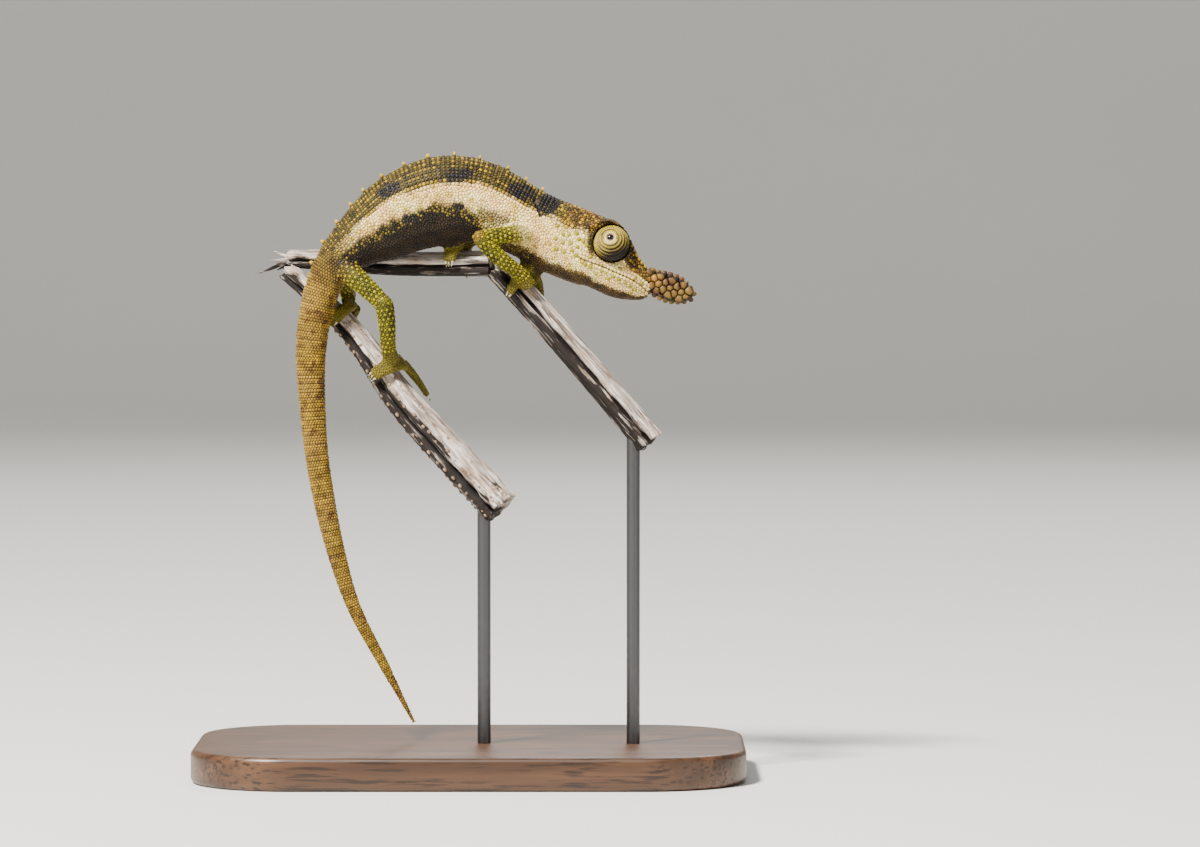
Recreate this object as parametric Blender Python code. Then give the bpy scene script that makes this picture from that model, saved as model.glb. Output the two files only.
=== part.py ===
"""Nose-horned chameleon, life size, holding a broken twig that two rods carry above a flat base.

The script's unit is the metre, and the sizes below are written in millimetres times MM. The animal faces +X,
its right side faces -Y, and Z is 0 at the underside of the base. One spine table gives the axis, height and
width of the whole body from the tip of the tail to the snout. Every node of the trunk is a stretch of it, so
neighbours meet face to face.
"""

import math
from typing import NamedTuple

import bmesh
import bpy
from mathutils import Matrix, Vector

MM = 0.001
GAP = 0.3 * MM

# Driving sizes of the stand
BASE_LENGTH = 66 * MM
BASE_WIDTH = 42 * MM
BASE_THICKNESS = 4 * MM
BASE_CORNER = 12 * MM
BASE_EDGE = 0.8 * MM
ROD_RADIUS = 0.8 * MM

# Driving sizes of the animal
TRUNK_SIDES = 20
TAIL_SIDES = 12
RINGS_PER_STATION = 3
EYE_CENTRE = Vector((16.95, 1.8, 63.8)) * MM
EYE_RADIUS = 2.08 * MM
EYE_TURN_UP = math.radians(24)
PUPIL_HOLE_RADIUS = 0.84 * MM
EYEBALL_RADIUS = 0.54 * MM
SOCKET_WALL = 0.35 * MM
CREST_SPACING = 2.25 * MM
CREST_HEIGHT = 0.6 * MM
CREST_RADIUS = 0.38 * MM
HORN_SCALE_SIZE = 0.84 * MM


class Station(NamedTuple):
    """One cross-section of the body: where its centre is, and how high and wide it reaches from there."""

    x: float
    z: float
    half_height: float
    half_width: float
    top_power: float = 1.0
    belly_power: float = 1.0


# Sizes in millimetres. A power over 1 pinches the section to a keel, and one under 1 makes it boxy.
SPINE = (
    Station(-6.7, 6.1, 0.22, 0.22),
    Station(-10.4, 13.2, 0.60, 0.58),
    Station(-13.9, 19.9, 0.82, 0.80),
    Station(-16.1, 26.7, 1.10, 1.05),
    Station(-17.6, 33.4, 1.32, 1.25),
    Station(-18.6, 40.2, 1.45, 1.38),
    Station(-19.1, 50.3, 1.80, 1.62),
    Station(-18.1, 57.0, 2.08, 1.90),
    Station(-16.2, 61.4, 2.35, 2.10, 1.10, 1.0),
    Station(-13.6, 63.9, 3.30, 2.40, 1.15, 1.05),
    Station(-10.7, 65.8, 4.45, 2.75, 1.20, 1.10),
    Station(-7.8, 67.5, 5.00, 3.00, 1.22, 1.12),
    Station(-4.3, 68.7, 5.35, 3.15, 1.22, 1.12),
    Station(-1.1, 69.0, 5.25, 3.20, 1.22, 1.10),
    Station(1.8, 68.6, 4.85, 3.15, 1.20, 1.05),
    Station(4.7, 67.3, 4.45, 2.95, 1.15, 1.0),
    Station(7.3, 66.0, 4.25, 2.65, 1.05, 1.0),
    Station(9.7, 64.8, 4.40, 2.75, 0.90, 0.95),
    Station(12.5, 63.65, 4.45, 2.75, 0.75, 0.90),
    Station(15.5, 62.35, 4.25, 2.50, 0.60, 0.85),
    Station(18.0, 60.2, 3.20, 2.10, 0.70, 0.85),
    Station(19.75, 59.1, 2.40, 1.60, 0.85, 0.90),
    Station(21.05, 58.4, 1.58, 1.10, 0.90, 0.90),
    Station(21.75, 58.15, 0.65, 0.55, 1.0, 1.0),
)

# Where one node of the trunk ends and the next begins, as a place in the spine table
TRUNK_NODES = (
    ("tail_tip", 0.0, 1.7),
    ("tail_4", 1.7, 3.3),
    ("tail_3", 3.3, 4.8),
    ("tail_2", 4.8, 6.0),
    ("tail_base", 6.0, 7.45),
    ("torso_rear", 7.45, 10.2),
    ("torso_mid", 10.2, 12.8),
    ("torso_front", 12.8, 15.35),
    ("neck", 15.35, 16.55),
    ("head", 16.55, 23.0),
)
CREST_FROM, CREST_TO = 7.7, 15.9

SKIN_COLOURS = {
    "tail": (0.42, 0.30, 0.12),
    "torso": (0.36, 0.29, 0.15),
    "neck": (0.50, 0.43, 0.26),
    "head": (0.58, 0.52, 0.36),
    "horn": (0.42, 0.22, 0.11),
    "eyelid": (0.40, 0.34, 0.10),
    "leg": (0.32, 0.33, 0.06),
    "toes": (0.40, 0.36, 0.18),
}
EYEBALL_COLOUR = (0.02, 0.015, 0.012)
TWIG_COLOUR = (0.50, 0.44, 0.38)
BASE_COLOUR = (0.10, 0.055, 0.03)
ROD_COLOUR = (0.30, 0.30, 0.31)


def clear_scene():
    for obj in list(bpy.data.objects):
        bpy.data.objects.remove(obj)


def new_collection(name):
    collection = bpy.data.collections.new(name)
    bpy.context.scene.collection.children.link(collection)
    return collection


def paint(obj, colour, roughness=0.6, metallic=0.0):
    """Gives the object a plain material of its own."""
    material = bpy.data.materials.new(obj.name)
    material.use_nodes = True
    shader = material.node_tree.nodes["Principled BSDF"]
    shader.inputs["Base Color"].default_value = (*colour, 1.0)
    shader.inputs["Roughness"].default_value = roughness
    shader.inputs["Metallic"].default_value = metallic
    obj.data.materials.clear()
    obj.data.materials.append(material)


def object_from(name, bm, collection):
    """Turns the bmesh into a smooth-shaded object."""
    bmesh.ops.recalc_face_normals(bm, faces=bm.faces)
    mesh = bpy.data.meshes.new(name)
    bm.to_mesh(mesh)
    bm.free()
    mesh.shade_smooth()
    mesh.set_sharp_from_angle(angle=math.radians(40))
    obj = bpy.data.objects.new(name, mesh)
    collection.objects.link(obj)
    return obj


def last_added(name, collection):
    """Names the primitive just added, moves it to the collection and keeps its place in the mesh."""
    obj = bpy.context.object
    obj.name = name
    for owner in obj.users_collection:
        owner.objects.unlink(obj)
    collection.objects.link(obj)
    bpy.context.view_layer.update()
    obj.data.transform(obj.matrix_world)
    obj.matrix_world = Matrix.Identity(4)
    return obj


def blend_along(values, place):
    """A smooth value between neighbours of a list, at a fractional place in it (Catmull-Rom)."""
    last = len(values) - 1
    i = min(max(int(math.floor(place)), 0), last - 1)
    t = place - i
    before, a, b, after = (values[min(max(k, 0), last)] for k in (i - 1, i, i + 1, i + 2))
    return 0.5 * (
        2 * a
        + (b - before) * t
        + (2 * before - 5 * a + 4 * b - after) * t * t
        + (3 * a - before - 3 * b + after) * t * t * t
    )


def smooth_path(points, count):
    """A given number of places along a smooth curve through the points."""
    last = len(points) - 1
    return [blend_along(points, last * k / (count - 1)) for k in range(count)]


def loft(name, rings, collection):
    """A closed skin over rings of equal length, flat at both ends."""
    bm = bmesh.new()
    rows = [[bm.verts.new(point) for point in ring] for ring in rings]
    sides = len(rings[0])
    for low, high in zip(rows, rows[1:]):
        for k in range(sides):
            n = (k + 1) % sides
            bm.faces.new((low[k], low[n], high[n], high[k]))
    bm.faces.new(rows[0][::-1])
    bm.faces.new(rows[-1])
    return object_from(name, bm, collection)


def spine_centre(place):
    return Vector(
        (
            blend_along([s.x for s in SPINE], place) * MM,
            0.0,
            blend_along([s.z for s in SPINE], place) * MM,
        )
    )


def spine_frame(place):
    """Centre, forward and upward directions of the body's cross-section at a place in the table."""
    step = 0.02
    forward = (spine_centre(place + step) - spine_centre(place - step)).normalized()
    return spine_centre(place), forward, Vector((-forward.z, 0.0, forward.x))


def body_point(place, angle, grow=0.0):
    """A point of the skin: angle 0 is the back, a quarter turn is the left side, and half a turn the belly."""
    centre, _, up = spine_frame(place)
    height = blend_along([s.half_height for s in SPINE], place) * MM + grow
    width = blend_along([s.half_width for s in SPINE], place) * MM + grow
    rise, side = math.cos(angle), math.sin(angle)
    powers = [s.top_power if rise > 0 else s.belly_power for s in SPINE]
    power = 1 + (blend_along(powers, place) - 1) * abs(rise)
    return centre + up * (height * rise) + Vector((0, math.copysign(abs(side) ** power * width, side), 0))


def body_ring(place, sides, grow=0.0):
    return [body_point(place, 2 * math.pi * k / sides, grow) for k in range(sides)]


def trunk_piece(name, start, end, collection, grow=0.0, sides=TRUNK_SIDES):
    """The stretch of the body between two places, without the half gap to each neighbour."""
    half_gap = 0.0 if grow else GAP / 2
    stretch = (spine_centre(start + 0.1) - spine_centre(start)).length * 10
    first = start + half_gap / stretch
    stretch = (spine_centre(end) - spine_centre(end - 0.1)).length * 10
    last = end - half_gap / stretch
    count = max(4, round((end - start) * RINGS_PER_STATION) + 1)
    places = [first + (last - first) * k / (count - 1) for k in range(count)]
    return loft(name, [body_ring(place, sides, grow) for place in places], collection)


def tube(name, points, radii, collection, sides=10, rings=9, flat=1.0, grow=0.0, round_end=0.0):
    """A limb: round sections along a smooth path, with a rounded start where round_end is set.

    flat squeezes the section across the path's own bend.
    """
    path = smooth_path([Vector(p) for p in points], rings)
    size = [r + grow for r in smooth_path([float(r) for r in radii], rings)]
    tangents = [(b - a).normalized() for a, b in zip([path[0], *path[:-1]], [*path[1:], path[-1]])]
    side = tangents[0].cross(Vector((0.1, 1.0, 0.2))).normalized()
    loops = []
    if round_end:
        for turn in (math.radians(75), math.radians(40)):
            back = path[0] - tangents[0] * math.sin(turn) * size[0] * round_end
            loops.append((back, tangents[0], size[0] * math.cos(turn)))
    else:
        path[0] = path[0] - tangents[0] * grow
    path[-1] = path[-1] + tangents[-1] * grow
    loops.extend(zip(path, tangents, size))
    rows = []
    for centre, tangent, radius in loops:
        side = (side - tangent * side.dot(tangent)).normalized()
        across = tangent.cross(side)
        ring = []
        for k in range(sides):
            angle = 2 * math.pi * k / sides
            ring.append(centre + radius * (math.cos(angle) * side + flat * math.sin(angle) * across))
        rows.append(ring)
    return loft(name, rows, collection)


def keep_largest(mesh):
    """Removes every closed surface of the mesh but the one with the most volume."""
    bm = bmesh.new()
    bm.from_mesh(mesh)
    bmesh.ops.triangulate(bm, faces=bm.faces)
    left = set(bm.faces)
    shells = []
    while left:
        shell = {left.pop()}
        front = list(shell)
        while front:
            face = front.pop()
            near = {other for edge in face.edges for other in edge.link_faces} & left
            left -= near
            shell |= near
            front.extend(near)
        shells.append(shell)

    def volume(shell):
        corners = ([v.co for v in face.verts] for face in shell)
        return sum(a.dot(b.cross(c)) for a, b, c in corners)

    largest = max(shells, key=volume)
    loose = [face for shell in shells if shell is not largest for face in shell]
    bmesh.ops.delete(bm, geom=loose, context="FACES")
    bmesh.ops.dissolve_degenerate(bm, edges=bm.edges, dist=1e-7)
    bm.to_mesh(mesh)
    bm.free()


def combine(target, pieces, operation, keep_pieces=False, solver="EXACT"):
    """Joins the pieces to the target, or cuts them from it, with one Boolean."""
    group = new_collection("pieces")
    for piece in pieces:
        group.objects.link(piece)
    modifier = target.modifiers.new(operation.lower(), "BOOLEAN")
    modifier.operation = operation
    modifier.operand_type = "COLLECTION"
    modifier.collection = group
    modifier.solver = solver
    bpy.context.view_layer.update()
    graph = bpy.context.evaluated_depsgraph_get()
    mesh = bpy.data.meshes.new_from_object(target.evaluated_get(graph))
    target.modifiers.remove(modifier)
    target.data = mesh
    keep_largest(mesh)
    mesh.shade_smooth()
    mesh.set_sharp_from_angle(angle=math.radians(40))
    if not keep_pieces:
        for piece in pieces:
            bpy.data.objects.remove(piece)
    else:
        for piece in pieces:
            group.objects.unlink(piece)
    bpy.data.collections.remove(group)


def cone(name, root, tip, radius, collection, sides=5, tip_radius=0.05 * MM):
    """A tapered spike from root to tip."""
    bm = bmesh.new()
    axis = Vector(tip) - Vector(root)
    turn = axis.to_track_quat("Z", "Y").to_matrix().to_4x4()
    place = Matrix.Translation((Vector(root) + Vector(tip)) / 2) @ turn
    bmesh.ops.create_cone(
        bm,
        cap_ends=True,
        segments=sides,
        radius1=radius,
        radius2=tip_radius,
        depth=axis.length,
        matrix=place,
    )
    return object_from(name, bm, collection)


def crest_spines(start, end, collection):
    """Small leaning cones along the ridge of the back, with their roots well inside the body."""
    spines = []
    place = CREST_FROM
    while place < CREST_TO:
        if start + 0.12 < place < end - 0.12:
            centre, forward, up = spine_frame(place)
            ridge = body_point(place, 0.0)
            size = 0.8 + 0.2 * math.sin(2.1 * place)
            lean = up * CREST_HEIGHT * size - forward * 0.15 * MM
            spines.append(cone("spine", ridge - up * 0.5 * MM, ridge + lean, CREST_RADIUS, collection))
        length = (spine_centre(place + 0.1) - spine_centre(place)).length * 10
        place += CREST_SPACING / length
    return spines


def turned(name, profile, matrix, collection, steps=18):
    """A turned shape: a profile of (radius, height) spun about its own axis and set in place."""
    bm = bmesh.new()
    rows = []
    for radius, height in profile:
        angles = [2 * math.pi * k / steps for k in range(steps)] if radius > 0 else [0.0]
        row = [Vector((radius * math.cos(a), radius * math.sin(a), height)) for a in angles]
        rows.append([bm.verts.new(matrix @ point) for point in row])
    for low, high in zip(rows, rows[1:]):
        for k in range(steps):
            corners = (low[k % len(low)], low[(k + 1) % len(low)], high[(k + 1) % len(high)], high[k % len(high)])
            bm.faces.new(dict.fromkeys(corners))
    return object_from(name, bm, collection)


def cut_inside(obj, side, wall):
    """Cuts off what reaches nearer to the animal's middle than the wall, and closes the cut."""
    bm = bmesh.new()
    bm.from_mesh(obj.data)
    cut = bmesh.ops.bisect_plane(
        bm,
        geom=[*bm.verts, *bm.edges, *bm.faces],
        plane_co=(0, side * wall, 0),
        plane_no=(0, side, 0),
        clear_inner=True,
    )
    edges = [e for e in cut["geom_cut"] if isinstance(e, bmesh.types.BMEdge)]
    bmesh.ops.contextual_create(bm, geom=edges)
    bmesh.ops.recalc_face_normals(bm, faces=bm.faces)
    bm.to_mesh(obj.data)
    bm.free()


def eye_matrix(side):
    """Sets a turned shape's axis along the gaze: outwards, a little up and back."""
    centre = Vector((EYE_CENTRE.x, side * EYE_CENTRE.y, EYE_CENTRE.z))
    gaze = Vector((-0.06, side * math.cos(EYE_TURN_UP), math.sin(EYE_TURN_UP)))
    return Matrix.Translation(centre) @ gaze.to_track_quat("Z", "Y").to_matrix().to_4x4()


def eye_profile(grow=0.0, hole=True):
    """Half the outline of the scaly eye cone, from the back round to the pupil's opening."""
    radius = EYE_RADIUS + grow
    angles = [math.radians(a) for a in range(180, 23, -13)]
    profile = [(radius * max(math.sin(a), 0.0), radius * math.cos(a)) for a in angles]
    profile[0] = (0.0, -radius)
    if not hole:
        return [*profile, (0.0, radius)]
    lip = PUPIL_HOLE_RADIUS
    return [*profile, (lip, radius * 0.945), (lip * 0.96, radius * 0.6), (0.0, radius * 0.6)]


def make_eye(side, word, collection):
    """The eye cone, covered by fused lids, and the small eyeball that shows in its opening."""
    matrix = eye_matrix(side)
    lid = turned(f"eyelid_{word}", eye_profile(), matrix, collection)
    cut_inside(lid, side, SOCKET_WALL + GAP)
    paint(lid, SKIN_COLOURS["eyelid"])
    floor = EYE_RADIUS * 0.6 + GAP
    top = EYE_RADIUS * 0.955
    r = EYEBALL_RADIUS
    profile = [(0.0, floor), (r, floor), (r, top - 0.22 * MM), (r * 0.75, top - 0.07 * MM), (0.0, top)]
    ball = turned(f"eye_{word}", profile, matrix, collection, steps=14)
    paint(ball, EYEBALL_COLOUR, roughness=0.1)


def eye_socket(side, collection):
    socket = turned("socket", eye_profile(GAP, hole=False), eye_matrix(side), collection, steps=22)
    cut_inside(socket, side, SOCKET_WALL)
    return socket


class RidgePoint(NamedTuple):
    """A section of the head's side ridge: its place, half its thickness and how far it reaches inwards."""

    x: float
    y: float
    z: float
    thick: float
    reach: float


# From the rear of the casque along the top of the cheek, over the eye as a shelf, and down the snout
HEAD_RIDGE = (
    RidgePoint(9.7, 2.25, 67.2, 0.20, 0.35),
    RidgePoint(10.7, 2.42, 66.7, 0.30, 0.45),
    RidgePoint(12.0, 2.58, 66.0, 0.34, 0.50),
    RidgePoint(13.4, 2.50, 65.65, 0.34, 0.55),
    RidgePoint(14.6, 2.10, 65.9, 0.32, 0.75),
    RidgePoint(15.7, 1.60, 66.4, 0.28, 0.90),
    RidgePoint(16.8, 1.40, 66.48, 0.26, 0.90),
    RidgePoint(17.8, 1.25, 66.0, 0.24, 0.80),
    RidgePoint(18.6, 1.15, 64.95, 0.22, 0.60),
    RidgePoint(19.15, 1.10, 63.5, 0.22, 0.50),
    RidgePoint(19.8, 0.95, 62.0, 0.24, 0.45),
    RidgePoint(20.5, 0.70, 61.0, 0.22, 0.35),
)
RIDGE_RINGS = 23


def head_ridge(side, collection):
    """The raised edge of the casque, which widens to a brow over the eye and runs out on the snout."""
    rows = smooth_path([Vector((p.x, 0.0, p.z)) * MM for p in HEAD_RIDGE], RIDGE_RINGS)
    out = smooth_path([p.y * MM for p in HEAD_RIDGE], RIDGE_RINGS)
    thick = smooth_path([p.thick * MM for p in HEAD_RIDGE], RIDGE_RINGS)
    reach = smooth_path([p.reach * MM for p in HEAD_RIDGE], RIDGE_RINGS)
    rings = []
    for k, centre in enumerate(rows):
        tangent = (rows[min(k + 1, RIDGE_RINGS - 1)] - rows[max(k - 1, 0)]).normalized()
        normal = Vector((-tangent.z, 0.0, tangent.x))
        ring = []
        for j in range(8):
            a = 2 * math.pi * j / 8
            across = side * (out[k] - reach[k] * 0.5 + reach[k] * math.cos(a))
            ring.append(centre + normal * thick[k] * math.sin(a) + Vector((0, across, 0)))
        rings.append(ring)
    return loft("ridge", rings, collection)


# The line of the mouth from the snout back to its corner, in millimetres, seen from the side
MOUTH_LINE = ((22.6, 57.1), (21.2, 58.1), (20.1, 59.05), (19.1, 59.65), (17.3, 60.4), (15.8, 61.05), (13.3, 62.0))
MOUTH_SLIT = 0.28 * MM
MOUTH_DEPTH = 0.5 * MM
LIP_RADIUS = 0.34 * MM
LIP_SINK = 0.16 * MM


def beside_mouth(rise, first, last, count):
    """Places along the mouth line, moved up or down by the rise."""
    points = [Vector((x, 0, z)) * MM for x, z in MOUTH_LINE]
    spread = [blend_along(points, first + (last - first) * k / (count - 1)) for k in range(count)]
    return [point + Vector((0.3, 0, 0.95)) * rise for point in spread]


def on_head(x, z, side, grow=0.0):
    """The point of the head's side that is seen at x and z."""
    low, high = 15.5, 22.9
    for _ in range(30):
        middle = (low + high) / 2
        centre, forward, _ = spine_frame(middle)
        if (Vector((x, 0, z)) - centre).dot(forward) > 0:
            low = middle
        else:
            high = middle
    centre, _, up = spine_frame(low)
    height = blend_along([s.half_height for s in SPINE], low) * MM
    rise = max(-0.99, min(0.99, (Vector((x, 0, z)) - centre).dot(up) / height))
    return body_point(low, side * math.acos(rise), grow)


def lips(side, collection):
    """The raised rims above and below the mouth line."""
    rims = []
    for rise in (0.42 * MM, -0.42 * MM):
        line = [on_head(p.x, p.z, side, -LIP_SINK) for p in beside_mouth(rise, 1.3, 5.6, 9)]
        sizes = [LIP_RADIUS * 0.7, LIP_RADIUS, LIP_RADIUS, LIP_RADIUS, LIP_RADIUS * 0.7]
        rims.append(tube("lip", line, sizes, collection, sides=6, rings=11))
    return rims


def mouth_groove(collection):
    """A thin curved band along the mouth line, hollow inside, that cuts only the lips."""
    reach = 4 * MM
    half = Vector((0, 0, MOUTH_SLIT / 2))
    rings = []
    for point in beside_mouth(0.0, 0.0, 6.0, 15):
        above = [point + half + Vector((0, s * reach, 0)) for s in (-1, 1)]
        below = [point - half + Vector((0, s * reach, 0)) for s in (1, -1)]
        rings.append(above + below)
    band = loft("mouth", rings, collection)
    core = trunk_piece("core", 17.0, 22.3, collection, grow=-MOUTH_DEPTH)
    modifier = band.modifiers.new("hollow", "BOOLEAN")
    modifier.operation = "DIFFERENCE"
    modifier.object = core
    bpy.context.view_layer.update()
    graph = bpy.context.evaluated_depsgraph_get()
    band.data = bpy.data.meshes.new_from_object(band.evaluated_get(graph))
    band.modifiers.clear()
    bpy.data.objects.remove(core)
    return band


NOSTRIL = Vector((20.6, 0.0, 60.2)) * MM


def nostril(side, collection):
    """A small pit at the side of the snout, above the lip."""
    outer = on_head(NOSTRIL.x, NOSTRIL.z, side, 0.4 * MM)
    inner = on_head(NOSTRIL.x, NOSTRIL.z, side, -0.45 * MM)
    return cone("nostril", outer, inner, 0.32 * MM, collection, sides=7, tip_radius=0.16 * MM)


def make_trunk(collection):
    """Every node from the tip of the tail to the head, with the crest of the back on the nodes it crosses."""
    for name, start, end in TRUNK_NODES:
        sides = TAIL_SIDES if name.startswith("tail") else TRUNK_SIDES
        piece = trunk_piece(name, start, end, collection, sides=sides)
        spines = crest_spines(start, end, collection)
        if name == "head":
            rims = [rim for side in (-1, 1) for rim in (head_ridge(side, collection), *lips(side, collection))]
            combine(piece, rims, "UNION")
            hollows = [make(side, collection) for side in (-1, 1) for make in (eye_socket, nostril)]
            combine(piece, [mouth_groove(collection), *hollows], "DIFFERENCE")
        if spines:
            combine(piece, spines, "UNION")
        paint(piece, SKIN_COLOURS[name.split("_")[0]])


# Half height and half thickness of the nose horn from its root to its round tip, in millimetres
HORN_ROOT = Vector((19.9, 0.0, 59.95)) * MM
HORN_TIP = Vector((26.7, 0.0, 57.45)) * MM
HORN_HEIGHTS = (1.15, 1.20, 1.30, 1.45, 1.52, 1.48, 1.18, 0.30)
HORN_THICKNESSES = (0.70, 0.56, 0.46, 0.40, 0.38, 0.36, 0.32, 0.26)
HORN_SCALE_RISE = 0.30 * MM
HORN_RIM_RADIUS = 0.42 * MM


def horn_frame():
    along = (HORN_TIP - HORN_ROOT).normalized()
    return along, Vector((-along.z, 0.0, along.x))


def horn_size(t, sizes):
    return blend_along(sizes, t * (len(sizes) - 1)) * MM


def horn_point(t, rise, out):
    """A place on the horn: t along it, then up and sideways from its middle."""
    along, up = horn_frame()
    return HORN_ROOT + along * (HORN_TIP - HORN_ROOT).length * t + up * rise + Vector((0, out, 0))


def make_nose_horn(head_cutter, collection):
    """The soft blade on the snout, flat from side to side, with its large rounded scales."""
    rings = []
    for k in range(13):
        t = k / 12
        high, thick = horn_size(t, HORN_HEIGHTS), horn_size(t, HORN_THICKNESSES)
        angles = [2 * math.pi * j / 14 for j in range(14)]
        rings.append([horn_point(t, high * math.cos(a), thick * math.sin(a)) for a in angles])
    horn = loft("nose_horn", rings, collection)
    combine(horn, [*horn_face_scales(collection), *horn_rim_scales(collection)], "UNION")
    combine(horn, [head_cutter], "DIFFERENCE", keep_pieces=True)
    paint(horn, SKIN_COLOURS["horn"])


def horn_face_scales(collection):
    """Rounded scales in staggered rows on both faces of the horn."""
    scales = []
    length = (HORN_TIP - HORN_ROOT).length
    columns = round(length / (HORN_SCALE_SIZE * 0.87))
    for column in range(1, columns):
        t = column / columns
        reach = horn_size(t, HORN_HEIGHTS)
        shift = 0.5 if column % 2 else 0.0
        for row in (n + shift for n in range(-2, 3)):
            rise = row * HORN_SCALE_SIZE * 0.97
            if abs(rise) > reach - 0.45 * HORN_SCALE_SIZE:
                continue
            out = horn_size(t, HORN_THICKNESSES) * math.sqrt(1 - (rise / reach) ** 2)
            size = 1 + 0.1 * math.sin(7 * column + 3 * row)
            for side in (-1, 1):
                place = horn_point(t, rise, side * out)
                scales.append(scale_dome(place, HORN_SCALE_SIZE * 0.56 * size, HORN_SCALE_RISE, collection))
    return scales


def horn_rim_scales(collection):
    """One row of scales round the margin, along the top to the tip and back underneath."""
    rim = [(k / 40, side) for side, turn in ((1, 1), (-1, -1)) for k in range(5, 41)[::turn]]
    places = [horn_point(t, side * horn_size(t, HORN_HEIGHTS), 0.0) for t, side in rim]
    scales = []
    travelled = 0.0
    last = places[0]
    for place in places:
        travelled += (place - last).length
        last = place
        if travelled >= HORN_RIM_RADIUS * 1.75:
            travelled = 0.0
            size = 1 + 0.12 * math.sin(5 * len(scales))
            scales.append(scale_dome(place, HORN_RIM_RADIUS * size, HORN_RIM_RADIUS * 1.05, collection))
    return scales


def scale_dome(place, radius, thick, collection):
    """One plump scale, a low ball sunk half way in the horn."""
    bm = bmesh.new()
    bmesh.ops.create_uvsphere(bm, u_segments=6, v_segments=4, radius=1.0)
    shape = Matrix.Diagonal((radius, thick, radius, 1.0))
    turn = Matrix.Rotation(place.x * 900, 4, "Y")
    bmesh.ops.transform(bm, matrix=Matrix.Translation(place) @ turn @ shape, verts=bm.verts)
    return object_from("scale", bm, collection)


class Limb(NamedTuple):
    """A leg: its joints and the grip of its foot. Lengths are in millimetres, angles in degrees."""

    name: str
    upper: str
    lower: str
    upper_points: tuple
    upper_radii: tuple
    lower_points: tuple
    lower_radii: tuple
    twig: str
    grip: tuple
    bundles: tuple


class Bundle(NamedTuple):
    """Fused toes that wrap one side of the twig, from the palm at the top to the claws."""

    name: str
    toes: int
    side: int
    turn: tuple
    along: tuple
    lift: tuple


class Twig(NamedTuple):
    """A length of the twig: its axis and radius, and how many ribs run along it."""

    name: str
    points: tuple
    radii: tuple
    ribs: int
    groove_turn: float


TWIGS = (
    Twig(
        "perch_bar",
        ((-22.1, 5.9, 61.8), (-16.2, 5.25, 61.6), (-11.0, 4.6, 61.3), (-4.8, 2.9, 61.2), (2.6, 0.6, 61.3)),
        (1.05, 1.3, 1.4, 1.45, 1.55),
        5,
        96.0,
    ),
    Twig(
        "perch_thick_arm",
        ((-22.2, 5.4, 60.4), (-14.5, 2.7, 53.4), (-8.2, 0.2, 45.0), (-0.7, -2.3, 36.9), (3.8, -3.8, 32.2)),
        (1.15, 1.42, 1.9, 2.15, 2.25),
        7,
        118.0,
    ),
    Twig(
        "perch_thin_arm",
        ((3.4, 0.3, 60.9), (9.1, -1.1, 54.6), (16.4, -2.7, 46.2), (21.6, -3.8, 40.1)),
        (1.6, 1.62, 1.68, 1.74),
        6,
        90.0,
    ),
)
TWIG_SIDES = 24
RIB_HEIGHT = 0.06
GROOVE_DEPTH = 0.32
GROOVE_SPREAD = 15.0


def twig_of(name):
    return next(twig for twig in TWIGS if twig.name == name)


def twig_rod(twig, collection, grow=0.0):
    """A weathered stem: ribbed along its length, with one deep groove."""
    count = 9
    path = smooth_path([Vector(p) * MM for p in twig.points], count)
    sizes = smooth_path(list(twig.radii), count)
    rings = []
    for k, (centre, size) in enumerate(zip(path, sizes)):
        tangent = (path[min(k + 1, count - 1)] - path[max(k - 1, 0)]).normalized()
        side = tangent.cross(Vector((0, 1, 0))).normalized()
        across = tangent.cross(side)
        ring = []
        for j in range(TWIG_SIDES):
            a = 2 * math.pi * j / TWIG_SIDES
            off = math.degrees(a) - twig.groove_turn
            groove = GROOVE_DEPTH * math.exp(-((off / GROOVE_SPREAD) ** 2)) if not grow else 0.0
            rib = RIB_HEIGHT * math.cos(twig.ribs * a + 0.4 * math.sin(k)) if not grow else RIB_HEIGHT
            radius = size * MM * (1 + rib - groove) + grow
            ring.append(centre + radius * (math.cos(a) * side + math.sin(a) * across))
        if grow and k == 0:
            ring = [p - tangent * grow for p in ring]
        if grow and k == count - 1:
            ring = [p + tangent * grow for p in ring]
        rings.append(ring)
    return loft(twig.name, rings, collection)


def splinters(collection):
    """Torn fibres at the broken end of the bar."""
    root = Vector(TWIGS[0].points[0]) * MM
    tips = ((-25.7, 5.9, 60.1, 0.42), (-24.3, 5.2, 61.5, 0.36), (-23.9, 6.6, 62.6, 0.34), (-23.5, 6.3, 60.4, 0.34))
    spikes = []
    for n, (x, y, z, radius) in enumerate(tips):
        start = root + Vector((1.1, 0.12 * (n - 1.5), 0.28 * (1.5 - n))) * MM
        spikes.append(cone("splinter", start, Vector((x, y, z)) * MM, radius * MM, collection))
    return spikes


def make_perch(collection):
    """The broken twig in three lengths. The bar is whole, and the arms are cut clear of it."""
    bar = twig_rod(twig_of("perch_bar"), collection)
    combine(bar, splinters(collection), "UNION")
    bar_cutter = twig_rod(twig_of("perch_bar"), collection, grow=GAP)
    paint(bar, TWIG_COLOUR, roughness=0.9)
    for name in ("perch_thick_arm", "perch_thin_arm"):
        arm = twig_rod(twig_of(name), collection)
        combine(arm, [bar_cutter], "DIFFERENCE", keep_pieces=True)
        paint(arm, TWIG_COLOUR, roughness=0.9)
    bpy.data.objects.remove(bar_cutter)


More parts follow.
